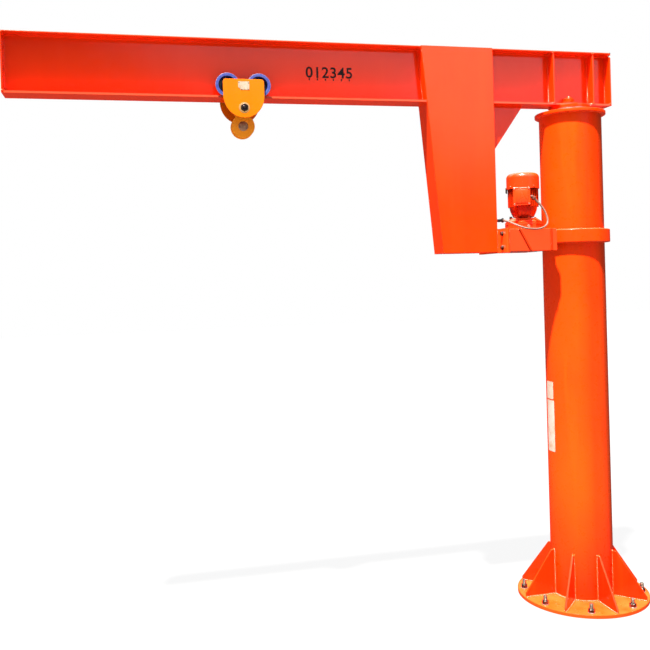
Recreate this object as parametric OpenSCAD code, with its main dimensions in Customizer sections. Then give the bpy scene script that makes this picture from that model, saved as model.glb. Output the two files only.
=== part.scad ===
// Pillar-mounted slewing jib crane with a motor-driven slew and a hand-pushed trolley.
// Units are millimetres, +Z is up. The origin is on the column axis, on the underside
// of the base plate. The jib points along -X when the slewing joint is at zero.

/* [Column] */
// outer diameter of the column tube
column_d = 377; // [219:1:610]
// wall thickness of the column tube
column_wall = 8; // [5:0.5:20]
// height of the top face of the column head flange above the floor
column_h = 3022; // [1500:2:6000]
// overhang of the head flange round the tube
head_lip = 25.5; // [10:0.5:80]
// thickness of the column head flange
head_t = 20; // [10:1:40]

/* [Base] */
// diameter of the base plate
base_d = 796; // [500:2:1400]
// thickness of the base plate
base_t = 20; // [12:1:50]
// number of gussets, and of anchor studs midway between them
gusset_count = 8; // [4:1:12]
// height of each gusset on the column
gusset_h = 276; // [100:2:600]
// distance of the gusset toes from the rim of the base plate
gusset_edge = 10; // [5:1:60]
// thickness of each gusset
gusset_t = 12; // [6:1:25]
// height of the square toe of each gusset
gusset_toe = 22; // [5:1:60]
// distance of the anchor stud circle from the rim of the base plate
anchor_edge = 40; // [30:1:120]
// anchor stud diameter
anchor_d = 24; // [12:1:42]
// clearance hole diameter in the base plate
anchor_hole_d = 27; // [14:1:48]
// height of the stud above the base plate
anchor_stand = 56; // [30:1:120]
// width across the flats of the anchor nut
anchor_nut_af = 36; // [19:1:65]
// height of the anchor nut
anchor_nut_h = 21; // [10:1:40]
// washer diameter
anchor_washer_d = 44; // [24:1:80]
// washer thickness
anchor_washer_t = 4; // [2:0.5:10]

/* [Slewing track] */
// height of the track ring
track_h = 80; // [30:1:110]
// radial thickness of the track ring
track_band = 33; // [15:1:60]
// distance from the top of the drive bracket down to the top of the ring
track_below = 4; // [0:1:20]

/* [Pivot] */
// gap between the column head flange and the beam, filled by the slewing bearing
pivot_gap = 42; // [30:1:120]
// pivot pin diameter
pivot_d = 90; // [40:1:160]
// pivot pin length below the beam
pivot_len = 150; // [80:1:400]
// outer diameter of the bearing housing
housing_d = 150; // [90:1:260]
// length of the housing below the top of the head flange
housing_len = 100; // [40:1:300]
// outer diameter of the seat plate under the beam
seat_d = 250; // [150:1:400]
// thickness of the seat plate
seat_t = 20; // [10:1:60]

/* [Jib beam] */
// overall depth of the beam
beam_h = 333; // [160:1:800]
// flange width
beam_w = 140; // [80:1:400]
// flange thickness
flange_t = 11; // [6:0.5:30]
// web thickness
web_t = 8; // [5:0.5:20]
// reach of the beam tip from the column axis
reach = 3354; // [2400:1:8000]
// length of the beam behind the column axis
tail = 254; // [180:1:800]
// end plate thickness
end_t = 8; // [5:1:20]
// distance of the first web stiffener in front of the axis
stiffener_front = 140; // [50:1:400]
// distance of the second web stiffener behind the axis
stiffener_back = 130; // [50:1:400]
// web stiffener thickness
stiffener_t = 10; // [5:1:20]
// distance of the hold-down studs in front of the axis
hold_x = 27; // [20:1:90]
// distance of the hold-down studs from the jib centre plane
hold_y = 40; // [34:1:42]
// hold-down stud diameter
hold_d = 30; // [16:1:42]

/* [Drop leg] */
// distance from the axis to the top outer corner of the leg
leg_top_x = 1003; // [700:1:1600]
// distance from the axis to the bottom outer corner of the leg
leg_foot_x = 898; // [700:1:1600]
// distance from the axis to the inner edge of the leg
leg_in_x = 549; // [480:1:680]
// distance from the underside of the beam down to the foot of the leg
leg_drop = 902; // [500:1:1400]
// leg plate thickness
leg_t = 8; // [5:1:20]
// length of the corner gusset under the beam
corner_l = 218; // [50:1:300]
// height of the corner gusset down the leg
corner_h = 300; // [50:1:800]
// thickness of the corner gusset
corner_t = 10; // [5:1:20]

/* [Drive bracket] */
// half width of the drive bracket over its side plates
bracket_y = 200; // [150:1:400]
// height of the drive bracket
bracket_h = 131; // [110:1:300]
// distance from the axis to the inner end of the bracket
bracket_in_x = 222; // [200:1:260]
// bracket plate thickness
bracket_t = 10; // [5:1:20]
// thickness of each bolted joint plate
joint_t = 10; // [6:1:25]
// distance that the joint plates stand above and below the bracket
joint_lap = 7; // [0:1:30]
// thread size of the joint bolts
joint_bolt_d = 16; // [10:1:30]
// clearance of the bolt holes, on diameter
hole_clear = 2; // [1:0.5:4]
// distance of the joint bolts from the jib centre plane
joint_bolt_y = 146; // [125:1:178]
// height between the upper and the lower joint bolts
joint_bolt_rise = 83; // [40:1:100]
// clearance of the bracket decks round the track ring
track_clear = 9; // [5:1:30]
// thickness of the stiffening bars on the side plates
rib_t = 7; // [3:1:20]
// width of the stiffening bars
rib_w = 12; // [5:1:30]
// distance from the inner end of the bracket to the upright bar
rib_in = 43; // [10:1:100]
// distance from the bolted end of the bracket to the top of the slanting bar
rib_out = 59; // [10:1:120]
// distance that the slanting bar runs along the bracket
rib_run = 72; // [20:1:140]

/* [Slewing drive] */
// radius of the drive wheel
drive_r = 112; // [60:1:125]
// clearance between the drive wheel and the track ring
drive_clear = 1; // [0.3:0.1:6]
// drive wheel thickness
drive_wheel_t = 60; // [20:1:90]
// drive shaft diameter
shaft_d = 44; // [20:1:80]
// radius of each guide roller
guide_r = 26; // [15:1:32]
// angle of each guide roller round the column from the jib centre line
guide_angle = 26; // [25:1:28]
// diameter of the reducer foot flange
reducer_d = 236; // [120:1:360]
// thickness of the reducer foot flange
reducer_foot_t = 14; // [6:1:40]
// width of the eight-sided reducer housing over its corners
reducer_body_d = 230; // [100:1:320]
// height of the reducer above the bracket
reducer_h = 74; // [40:1:200]
// width of the cast slope round the top of the housing
shoulder_w = 34; // [5:1:60]
// height of that slope
shoulder_h = 24; // [5:1:60]
// turn of the reducer housing about its axis
reducer_turn = 11; // [0:1:45]

/* [Motor] */
// motor frame diameter over the fins
motor_d = 186; // [100:1:300]
// diameter at the root of the fins
motor_core_d = 166; // [90:1:280]
// number of cooling fins round the frame
fin_count = 32; // [12:2:60]
// thickness of each fin
fin_t = 4; // [2:0.5:10]
// height of the neck between the reducer and the end bell
neck_h = 8; // [2:1:40]
// height of the lower end bell
bell_h = 63; // [20:1:120]
// diameter at the foot of the end bell
bell_d = 122; // [60:1:160]
// height of the finned frame that shows below the fan cowl
frame_h = 112; // [60:1:300]
// fan cowl diameter
cowl_d = 199; // [110:1:320]
// fan cowl height
cowl_h = 96; // [60:1:200]
// corner radius at the top of the fan cowl
cowl_round = 30; // [5:1:50]
// sheet thickness of the fan cowl
cowl_t = 2.5; // [1:0.5:6]
// number of air slots in the top of the fan cowl
slot_count = 16; // [6:1:30]
// terminal box width
box_w = 94; // [50:1:140]
// terminal box height
box_h = 100; // [50:1:100]
// distance of the terminal box cover from the motor axis
box_r = 146; // [110:1:260]
// angle of the terminal box from the front of the crane toward the jib tip
box_angle = 30; // [-90:1:90]

/* [Motor conduit] */
// outer diameter of the conduit
conduit_d = 13; // [6:0.5:30]
// gland diameter
gland_d = 21; // [15:0.5:24]
// dip of the gland elbow below level
gland_dip = 40; // [0:1:80]
// height of the gland above the foot of the terminal box
gland_up = 46; // [20:1:80]
// diameter of the connector at the leg
connector_d = 18; // [14:0.5:24]
// length of each arm of the connector elbow
connector_l = 22; // [16:1:60]
// turn of the connector elbow from the inner wall of the leg toward the front
connector_turn = 55; // [0:1:70]
// distance of the connector from the jib centre plane
connector_y = 58; // [0:1:60]
// height of the connector above the bracket
connector_up = 60; // [20:1:120]

/* [Trolley] */
// distance of the trolley centre from the column axis with the slide at zero
trolley_x = 2069; // [1500:1:3100]
// distance between the two wheel centres on one side
wheel_base = 178; // [145:1:200]
// wheel tread radius
tread_r = 57; // [35:1:60]
// wheel flange radius
wheel_flange_r = 67; // [60:1:72]
// tread width
tread_w = 38; // [20:1:80]
// wheel flange width
wheel_flange_w = 9; // [4:1:20]
// clearance from the wheel flange to the edge of the beam flange
wheel_side_clear = 5; // [2:0.5:15]
// gap kept under the tread so that the wheel and the beam stay separate pieces
rail_gap = 0.3; // [0.2:0.1:1]
// radial running clearance of the wheels and the lug
run_clear = 0.05; // [0.02:0.01:0.1]
// trolley side plate thickness
plate_t = 10; // [5:1:20]
// gap between each wheel and its side plate
plate_gap = 4; // [2:0.5:15]
// side plate width
plate_w = 232; // [200:1:400]
// height of the side plate above the tie bolt
plate_up = 162; // [120:1:300]
// depth of the side plate below the tie bolt
plate_down = 55; // [40:1:90]
// height above the tie bolt where the side plate starts to narrow
plate_taper = 70; // [60:1:110]
// roundness of the narrowing part, two for an ellipse
taper_power = 2; // [1.4:0.05:2.4]
// radius of the top corners of the side plate
plate_corner = 18; // [5:1:50]
// distance from the underside of the beam down to the tie bolt
tie_drop = 63; // [50:1:160]
// tie bolt diameter
tie_d = 24; // [12:1:50]
// width across the flats of the tie bolt nut
tie_nut_af = 40; // [20:1:80]
// height of the tie bolt nut
tie_nut_h = 18; // [8:1:40]
// tie bolt washer diameter
tie_washer_d = 66; // [30:1:100]
// axle diameter
axle_d = 25; // [12:1:50]

/* [Load lug] */
// radius of the round end of the lug
lug_r = 66; // [50:1:120]
// distance from the tie bolt down to the load pin
lug_drop = 89; // [60:1:200]
// thickness of each lug cheek
cheek_t = 14; // [6:1:40]
// clear width between the cheeks
lug_gap = 36; // [15:1:100]
// load pin diameter
load_pin_d = 56; // [20:1:80]
// depth that the load pin ends are set back from the cheek faces
pin_inset = 4; // [0:0.5:10]

/* [Hidden] */
$fn = 96;
fit_gap = 0.3;
cut = 1;
head_d = column_d + 2 * head_lip;
track_d = column_d + 2 * track_band;
anchor_pcd = base_d - 2 * anchor_edge;
gusset_r = base_d / 2 - gusset_edge;
beam_z = column_h + pivot_gap;
beam_top = beam_z + beam_h;
half_w = beam_w / 2;
leg_y = half_w + leg_t;
leg_z = beam_z - leg_drop;
race_t = pivot_gap - seat_t - fit_gap;
bracket_z = leg_z;
bracket_top = bracket_z + bracket_h;
end_plate_x = leg_in_x - joint_t;
bracket_out_x = end_plate_x - joint_t;
track_r = track_d / 2;
track_z = bracket_top - track_below - track_h;
drive_x = track_r + drive_clear + drive_r;
guide_pos = track_r + drive_clear + guide_r;
roller_z = track_z + (track_h - drive_wheel_t) / 2;
motor_z = bracket_top + reducer_h;
bell_z = motor_z + neck_h;
frame_z = bell_z + bell_h;
cowl_z = frame_z + frame_h;
cowl_lap = 24;
cover_t = 8;
cover_lip = 3;
box_z = cowl_z - box_h - 2 * cover_lip;
rail_z = beam_z + flange_t;
wheel_z = rail_z + tread_r + rail_gap;
flange_in_y = half_w + wheel_side_clear;
flange_out_y = flange_in_y + wheel_flange_w;
plate_in_y = flange_out_y + plate_gap;
plate_out_y = plate_in_y + plate_t;
tie_z = beam_z - tie_drop;
cheek_y = lug_gap / 2 + cheek_t;
taper_steps = 24;
corner_step = 15;
paint = [0.95, 0.3, 0.1];
steel = [0.35, 0.33, 0.32];
yellow = [0.98, 0.65, 0.1];
blue = [0.25, 0.33, 0.72];

// x of the sloping outer edge of the leg at height z, as a distance from the axis
function leg_edge(z) = leg_foot_x + (leg_top_x - leg_foot_x) * (z - leg_z) / (beam_top - leg_z);

// places its children at an angle round the column axis
module around(angle, r) {
  rotate([0, 0, angle])
    translate([r, 0, 0])
      children();
}

// a shape drawn in x and z, extruded along y from y0 to y1
module slab(y0, y1) {
  translate([0, y1, 0])
    rotate([90, 0, 0])
      linear_extrude(y1 - y0)
        children();
}

// hexagon prism standing on the xy plane, sized across the flats
module hexagon(af, h) {
  cylinder(h = h, d = af / cos(30), $fn = 6);
}

/* ---- column and base ---- */

module base_plate() {
  color(paint)
    difference() {
      cylinder(h = base_t, d = base_d);
      for (i = [0:gusset_count - 1])
        around((i + 0.5) * 360 / gusset_count, anchor_pcd / 2)
          translate([0, 0, -cut])
            cylinder(h = base_t + 2 * cut, d = anchor_hole_d, $fn = 32);
    }
}

module gusset() {
  slab(-gusset_t / 2, gusset_t / 2)
    polygon([[column_d / 2, base_t], [gusset_r, base_t], [gusset_r, base_t + gusset_toe],
      [column_d / 2 + gusset_toe, base_t + gusset_h], [column_d / 2, base_t + gusset_h]]);
}

module base_gussets() {
  color(paint)
    difference() {
      union()
        for (i = [0:gusset_count - 1])
          rotate([0, 0, i * 360 / gusset_count])
            gusset();
      translate([0, 0, base_t - cut])
        cylinder(h = gusset_h + 2 * cut, d = column_d);
    }
}

module anchor_bolts() {
  color(steel)
    for (i = [0:gusset_count - 1])
      around((i + 0.5) * 360 / gusset_count, anchor_pcd / 2) {
        cylinder(h = base_t + anchor_stand, d = anchor_d, $fn = 32);
        translate([0, 0, base_t])
          cylinder(h = anchor_washer_t, d = anchor_washer_d, $fn = 32);
        translate([0, 0, base_t + anchor_washer_t])
          hexagon(anchor_nut_af, anchor_nut_h);
      }
}

module column_tube() {
  color(paint)
    translate([0, 0, base_t])
      difference() {
        cylinder(h = column_h - head_t - base_t, d = column_d);
        translate([0, 0, -cut])
          cylinder(h = column_h, d = column_d - 2 * column_wall);
      }
}

module head_flange() {
  color(paint)
    translate([0, 0, column_h - head_t])
      difference() {
        cylinder(h = head_t, d = head_d);
        translate([0, 0, -cut])
          cylinder(h = head_t + 2 * cut, d = housing_d);
      }
}

module bearing_housing() {
  color(steel)
    difference() {
      union() {
        translate([0, 0, column_h - housing_len])
          cylinder(h = housing_len + race_t, d = housing_d);
        translate([0, 0, column_h])
          cylinder(h = race_t, d = seat_d);
      }
      translate([0, 0, column_h - housing_len - cut])
        cylinder(h = housing_len + race_t + 2 * cut, r = pivot_d / 2 + run_clear);
    }
}

module track_ring() {
  color(paint)
    translate([0, 0, track_z])
      difference() {
        cylinder(h = track_h, d = track_d);
        translate([0, 0, -cut])
          cylinder(h = track_h + 2 * cut, d = column_d);
      }
}

/* ---- jib beam ---- */

module beam_bar(y, z, w, h) {
  translate([end_t - reach, y - w / 2, z])
    cube([reach + tail - 2 * end_t, w, h]);
}

module jib_web() {
  color(paint)
    beam_bar(0, beam_z + flange_t, web_t, beam_h - 2 * flange_t);
}

module jib_top_flange() {
  color(paint)
    beam_bar(0, beam_top - flange_t, beam_w, flange_t);
}

module jib_bottom_flange() {
  color(paint)
    difference() {
      beam_bar(0, beam_z, beam_w, flange_t);
      for (y = [-hold_y, hold_y])
        translate([-hold_x, y, beam_z - cut])
          cylinder(h = flange_t + 2 * cut, d = hold_d + hole_clear, $fn = 48);
    }
}

module jib_end_plates() {
  color(paint)
    for (x = [-reach, tail - end_t])
      translate([x, -half_w, beam_z])
        cube([end_t, beam_w, beam_h]);
}

module jib_stiffeners() {
  color(paint)
    for (x = [-stiffener_front, stiffener_back])
      for (y = [-half_w, web_t / 2])
        translate([x - stiffener_t / 2, y, rail_z])
          cube([stiffener_t, half_w - web_t / 2, beam_h - 2 * flange_t]);
}

module bearing_seat() {
  color(paint)
    translate([0, 0, beam_z - seat_t])
      difference() {
        cylinder(h = seat_t, d = seat_d);
        translate([0, 0, -cut])
          cylinder(h = seat_t + 2 * cut, d = pivot_d);
      }
}

// studs welded to the seat, with a plate washer and a nut on the beam flange
module hold_down_studs() {
  washer_l = 96;
  washer_w = 56;
  washer_t = 8;
  nut_af = 54;
  nut_h = 27;
  stud_end = 12;
  color(steel)
    for (y = [-hold_y, hold_y])
      translate([-hold_x, y, 0]) {
        translate([0, 0, beam_z])
          cylinder(h = flange_t + washer_t + nut_h + stud_end, d = hold_d, $fn = 48);
        translate([-washer_l / 2, -washer_w / 2, rail_z])
          cube([washer_l, washer_w, washer_t]);
        translate([0, 0, rail_z + washer_t])
          hexagon(nut_af, nut_h);
      }
}

module pivot_pin() {
  color(steel)
    translate([0, 0, beam_z - pivot_len])
      cylinder(h = pivot_len, d = pivot_d);
}

/* ---- drop leg ---- */

module leg_face() {
  polygon([[-leg_top_x, beam_top], [-leg_in_x, beam_top], [-leg_in_x, leg_z],
    [-leg_foot_x, leg_z]]);
}

module leg_front_plate() {
  color(paint)
    slab(-leg_y, -half_w)
      leg_face();
}

module leg_back_plate() {
  color(paint)
    slab(half_w, leg_y)
      leg_face();
}

// a wall strip between heights z0 and z1 along the sloping outer edge
module outer_strip(z0, z1) {
  polygon([[-leg_edge(z0), z0], [-leg_edge(z1), z1], [leg_t - leg_edge(z1), z1],
    [leg_t - leg_edge(z0), z0]]);
}

module leg_outer_wall() {
  color(paint) {
    slab(-half_w, half_w)
      outer_strip(leg_z, beam_z);
    slab(-half_w, -web_t / 2)
      outer_strip(rail_z, beam_top - flange_t);
    slab(web_t / 2, half_w)
      outer_strip(rail_z, beam_top - flange_t);
  }
}

module leg_inner_wall() {
  color(paint) {
    translate([-leg_in_x - leg_t, -half_w, leg_z])
      cube([leg_t, beam_w, beam_z - leg_z]);
    for (y = [-half_w, web_t / 2])
      translate([-leg_in_x - leg_t, y, rail_z])
        cube([leg_t, half_w - web_t / 2, beam_h - 2 * flange_t]);
  }
}

module leg_foot_plate() {
  foot_top = leg_z + leg_t;
  color(paint)
    slab(-half_w, half_w)
      polygon([[leg_t - leg_edge(leg_z), leg_z], [-leg_in_x - leg_t, leg_z],
        [-leg_in_x - leg_t, foot_top], [leg_t - leg_edge(foot_top), foot_top]]);
}

module corner_gusset() {
  color(paint)
    slab(-corner_t / 2, corner_t / 2)
      polygon([[-leg_in_x, beam_z], [-leg_in_x, beam_z - corner_h],
        [corner_t - leg_in_x, beam_z - corner_h], [corner_l - leg_in_x, beam_z - corner_t],
        [corner_l - leg_in_x, beam_z]]);
}

/* ---- drive bracket ---- */

// places its children at each joint bolt, with z along the bolt toward the column
module at_joint_bolts(x) {
  for (y = [-joint_bolt_y, joint_bolt_y])
    for (rise = [-joint_bolt_rise / 2, joint_bolt_rise / 2])
      translate([x, y, bracket_z + bracket_h / 2 + rise])
        rotate([0, 90, 0])
          children();
}

module joint_plate(x) {
  difference() {
    translate([-x, -bracket_y, bracket_z - joint_lap])
      cube([joint_t, 2 * bracket_y, bracket_h + 2 * joint_lap]);
    at_joint_bolts(-x - cut)
      cylinder(h = joint_t + 2 * cut, d = joint_bolt_d + hole_clear, $fn = 32);
  }
}

module leg_joint_plate() {
  color(paint)
    joint_plate(leg_in_x);
}

module bracket_end_plate() {
  color(paint)
    joint_plate(end_plate_x);
}

module joint_bolts() {
  head_h = 10;
  nut_h = 14;
  stub = 5;
  across = joint_bolt_d * 1.5;
  color(steel)
    at_joint_bolts(-leg_in_x) {
      cylinder(h = 2 * joint_t + nut_h + stub, d = joint_bolt_d, $fn = 32);
      translate([0, 0, -head_h])
        hexagon(across, head_h);
      translate([0, 0, 2 * joint_t])
        hexagon(across, nut_h);
    }
}

module bracket_side_plates() {
  color(paint)
    for (y = [-bracket_y, bracket_y - bracket_t])
      translate([-bracket_out_x, y, bracket_z])
        cube([bracket_out_x - bracket_in_x, bracket_t, bracket_h]);
}

module bracket_decks() {
  inner_y = bracket_y - bracket_t;
  color(paint)
    difference() {
      for (z = [bracket_z, bracket_top - bracket_t])
        translate([-bracket_out_x, -inner_y, z])
          cube([bracket_out_x - bracket_in_x, 2 * inner_y, bracket_t]);
      translate([0, 0, bracket_z - cut])
        cylinder(h = bracket_h + 2 * cut, r = track_r + track_clear);
      // bore for the drive shaft
      translate([-drive_x, 0, bracket_z + bracket_t])
        cylinder(h = bracket_h, d = shaft_d + hole_clear);
    }
}

module bracket_ribs() {
  upright_x = bracket_in_x + rib_in;
  slant_x = bracket_out_x - rib_out;
  color(paint)
    for (y0 = [-bracket_y - rib_t, bracket_y])
      slab(y0, y0 + rib_t) {
        polygon([[-upright_x, bracket_z], [rib_w - upright_x, bracket_z],
          [rib_w - upright_x, bracket_top], [-upright_x, bracket_top]]);
        polygon([[-slant_x, bracket_top], [rib_w - slant_x, bracket_top],
          [rib_w + rib_run - slant_x, bracket_z], [rib_run - slant_x, bracket_z]]);
      }
}

/* ---- slewing drive ---- */

module drive_wheel() {
  hub_d = shaft_d + 40;
  recess = 10;
  color(steel)
    translate([-drive_x, 0, roller_z])
      difference() {
        union() {
          cylinder(h = drive_wheel_t, r = drive_r);
          cylinder(h = bracket_top - roller_z, d = shaft_d);
        }
        translate([0, 0, drive_wheel_t - recess])
          difference() {
            cylinder(h = recess + cut, r = drive_r - 2 * recess);
            cylinder(h = recess + cut, d = hub_d);
          }
      }
}

module guide_rollers() {
  pin_d = guide_r / 2;
  color(steel)
    for (a = [-guide_angle, guide_angle])
      around(180 + a, guide_pos) {
        translate([0, 0, roller_z])
          cylinder(h = drive_wheel_t, r = guide_r);
        translate([0, 0, bracket_z + bracket_t])
          cylinder(h = bracket_h - 2 * bracket_t, d = pin_d);
      }
}

module gear_reducer() {
  body_r = reducer_body_d / 2;
  color(paint)
    translate([-drive_x, 0, bracket_top]) {
      cylinder(h = reducer_foot_t, d = reducer_d);
      intersection() {
        rotate([0, 0, reducer_turn])
          cylinder(h = reducer_h, r = body_r, $fn = 8);
        rotate_extrude()
          polygon([[0, 0], [body_r, 0], [body_r, reducer_h - shoulder_h],
            [body_r - shoulder_w, reducer_h], [0, reducer_h]]);
      }
    }
}

module fin_section() {
  circle(d = motor_core_d);
  for (i = [0:fin_count - 1])
    rotate(i * 360 / fin_count)
      translate([0, -fin_t / 2])
        square([motor_d / 2, fin_t]);
}

// radius of the end bell at a fraction t of its height
function bell_r(t) = bell_d / 2 + (motor_core_d - bell_d) / 2 * sin(90 * t);

module motor_frame() {
  neck_d = bell_d - 26;
  steps = 10;
  color(paint)
    translate([-drive_x, 0, motor_z]) {
      cylinder(h = neck_h, d = neck_d);
      translate([0, 0, neck_h])
        rotate_extrude()
          polygon(concat([[0, 0]], [for (i = [0:steps]) [bell_r(i / steps), i / steps * bell_h]],
            [[0, bell_h]]));
      translate([0, 0, neck_h + bell_h])
        linear_extrude(frame_h)
          fin_section();
      translate([0, 0, neck_h + bell_h + frame_h])
        cylinder(h = cowl_lap, d = cowl_d - 2 * cowl_t - 2 * fit_gap);
    }
}

// half section of a round-shouldered cap
module cap_section(r, h, corner) {
  intersection() {
    union() {
      square([r, h - corner]);
      square([r - corner, h]);
      translate([r - corner, h - corner])
        circle(r = corner);
    }
    square([r, h]);
  }
}

module fan_cowl() {
  slot_w = 5;
  slot_in = 22;
  slot_out = cowl_d / 2 - cowl_round;
  lip = 12;
  inner_r = cowl_d / 2 - cowl_t;
  color(paint)
    translate([-drive_x, 0, cowl_z])
      difference() {
        rotate_extrude() {
          difference() {
            cap_section(cowl_d / 2, cowl_h, cowl_round);
            translate([0, -cut])
              cap_section(inner_r, cowl_h + cut - cowl_t, cowl_round - cowl_t);
          }
          // lip that the cowl rests with on the motor frame
          translate([inner_r - lip, cowl_lap])
            square([lip, cowl_t]);
        }
        for (i = [0:slot_count - 1])
          rotate([0, 0, i * 360 / slot_count])
            translate([slot_in, -slot_w / 2, cowl_h - 2 * cowl_t])
              cube([slot_out - slot_in, slot_w, 3 * cowl_t]);
      }
}

// places its children in the frame of the terminal box: x to the right, y into the motor
module at_box() {
  translate([-drive_x, 0, box_z])
    rotate([0, 0, -box_angle])
      children();
}

module terminal_box() {
  color(paint)
    at_box()
      difference() {
        union() {
          translate([-box_w / 2, -box_r + cover_t, 0])
            cube([box_w, box_r - cover_t, box_h]);
          translate([-box_w / 2 - cover_lip, -box_r, -cover_lip])
            cube([box_w + 2 * cover_lip, cover_t, box_h + 2 * cover_lip]);
        }
        translate([0, 0, -box_h])
          cylinder(h = 3 * box_h, r = motor_d / 2 + fit_gap);
      }
}

/* ---- motor conduit ---- */

gland_y = -box_r + 30;
gland_l = gland_d / 2 + 2;

// a point given in the frame of the terminal box, in the frame of the crane
function from_box(p) = [p[0] * cos(box_angle) + p[1] * sin(box_angle) - drive_x,
  p[1] * cos(box_angle) - p[0] * sin(box_angle), p[2] + box_z];

gland_axis = [cos(gland_dip) * cos(box_angle), -cos(gland_dip) * sin(box_angle), -sin(gland_dip)];
gland_mouth = from_box([box_w / 2 + gland_l, gland_y, gland_up]) + gland_l * gland_axis;
connector_axis = [cos(connector_turn), -sin(connector_turn), 0];
connector_bend = [connector_l - leg_in_x, -connector_y, bracket_top + connector_up];
connector_mouth = connector_bend + connector_l * connector_axis;
lead = 8;

// the free part of the route: x from the motor axis, y from the front of the bracket and
// z from its top
conduit_route = [[20, 59, 167], [42, 50, 140], [58, 40, 108], [66, 31, 76], [67, 22, 48],
  [56, 12, 26], [32, 1, 10], [4, -9, 1], [-26, -14, -3], [-58, -15, -2], [-90, -12, 2],
  [-119, -1, 12], [-141, 22, 26], [-156, 50, 39], [-167, 80, 50]];
conduit_points = concat([gland_mouth + lead * gland_axis],
  [for (p = conduit_route) p + [-drive_x, -bracket_y, bracket_top]],
  [connector_mouth + lead * connector_axis]);

// a point on a smooth curve through four neighbouring route points
function curve(a, b, c, d, t) = 0.5 * ((2 * b) + (c - a) * t + (2 * a - 5 * b + 4 * c - d) * t * t
  + (3 * b - a - 3 * c + d) * t * t * t);
function route_at(p, i) = p[max(0, min(len(p) - 1, i))];
function smooth(p, steps) = [for (i = [0:len(p) - 2]) for (s = [0:steps - 1])
  curve(route_at(p, i - 1), p[i], p[i + 1], route_at(p, i + 2), s / steps), p[len(p) - 1]];
function unit(v) = v / norm(v);
function tangent(p, i) = unit(route_at(p, i + 1) - route_at(p, i - 1));
function ring(c, t, r, n) = let (u = unit(cross(t, [0.3, -0.9, 0.2])), w = cross(t, u))
  [for (k = [0:n - 1]) c + r * (cos(k * 360 / n) * u + sin(k * 360 / n) * w)];

// a round tube swept along a list of points
module swept(p, r, n) {
  rings = [for (i = [0:len(p) - 1]) each ring(p[i], tangent(p, i), r, n)];
  sides = [for (i = [0:len(p) - 2]) for (k = [0:n - 1])
    [i * n + k, (i + 1) * n + k, (i + 1) * n + (k + 1) % n, i * n + (k + 1) % n]];
  first = [for (k = [0:n - 1]) k];
  last = [for (k = [0:n - 1]) len(p) * n - 1 - k];
  polyhedron(rings, concat([first], sides, [last]));
}

// a round fitting of two arms that meet at a bend, the first arm along z
module elbow(arm, bend, d) {
  cylinder(h = arm, d = d, $fn = 32);
  translate([0, 0, arm]) {
    sphere(d = d + 2, $fn = 32);
    rotate([0, bend, 0])
      cylinder(h = arm, d = d, $fn = 32);
  }
}

module conduit_glands() {
  color(steel) {
    at_box()
      translate([box_w / 2, gland_y, gland_up])
        rotate([0, 90, 0])
          elbow(gland_l, gland_dip, gland_d);
    translate([-leg_in_x, -connector_y, bracket_top + connector_up])
      rotate([-90, 0, 0])
        rotate([0, 90, 0])
          elbow(connector_l, connector_turn, connector_d);
  }
}

module motor_conduit() {
  path = concat([gland_mouth], smooth(conduit_points, 4), [connector_mouth]);
  color([0.8, 0.74, 0.62])
    swept(path, conduit_d / 2, 10);
}

/* ---- trolley ---- */

// half width of the side plate at a fraction u of the way down its tapering part
function taper_half(u) = plate_w / 2 * pow(1 - pow(u, taper_power), 1 / taper_power);

module trolley_face() {
  w = plate_w / 2;
  // right half: the rounded corner, then the curve down to the foot
  top = [for (a = [0:corner_step:90]) [w - plate_corner * (1 - sin(a)),
    plate_up - plate_corner * (1 - cos(a))]];
  side = [for (i = [0:taper_steps]) let (u = i / taper_steps)
    [taper_half(u), plate_taper - u * (plate_taper + plate_down)]];
  right = concat(top, side);
  last = len(right) - 1;
  left = [for (i = [1:last]) [-right[last - i][0], right[last - i][1]]];
  difference() {
    polygon(concat(right, left));
    circle(d = tie_d, $fn = 48);
  }
}

module trolley_plate_front() {
  color(yellow)
    translate([-trolley_x, 0, tie_z])
      slab(-plate_out_y, -plate_in_y)
        trolley_face();
}

module trolley_plate_back() {
  color(yellow)
    translate([-trolley_x, 0, tie_z])
      slab(plate_in_y, plate_out_y)
        trolley_face();
}

// places its children at a wheel centre, with z pointing outward along the axle
module at_wheel(side, end) {
  translate([end * wheel_base / 2 - trolley_x, 0, wheel_z])
    rotate([side * 90, 0, 0])
      children();
}

// axle and its inner collar, from inside the wheel to the side plate
module wheel_axles() {
  collar_t = 6;
  y0 = flange_in_y - tread_w - 2 * collar_t;
  color(steel)
    for (side = [-1, 1])
      for (end = [-1, 1])
        at_wheel(side, end) {
          translate([0, 0, y0])
            cylinder(h = plate_in_y - y0, d = axle_d, $fn = 48);
          translate([0, 0, y0])
            cylinder(h = collar_t, d = axle_d + 12, $fn = 48);
        }
}

module wheel_body() {
  y0 = flange_in_y - tread_w;
  rim = 7;
  hub_r = 24;
  dish = 14;
  color(blue)
    translate([0, 0, y0])
      rotate_extrude()
        polygon([[axle_d / 2 + run_clear, 0], [tread_r, 0], [tread_r, tread_w],
          [wheel_flange_r, tread_w], [wheel_flange_r, tread_w + wheel_flange_w],
          [tread_r - rim, tread_w + wheel_flange_w], [tread_r - rim - 4, dish],
          [hub_r, dish], [hub_r, tread_w + wheel_flange_w],
          [axle_d / 2 + run_clear, tread_w + wheel_flange_w]]);
}

module wheel_front_outer() {
  at_wheel(1, -1)
    wheel_body();
}

module wheel_front_inner() {
  at_wheel(1, 1)
    wheel_body();
}

module wheel_back_outer() {
  at_wheel(-1, -1)
    wheel_body();
}

module wheel_back_inner() {
  at_wheel(-1, 1)
    wheel_body();
}

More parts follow.
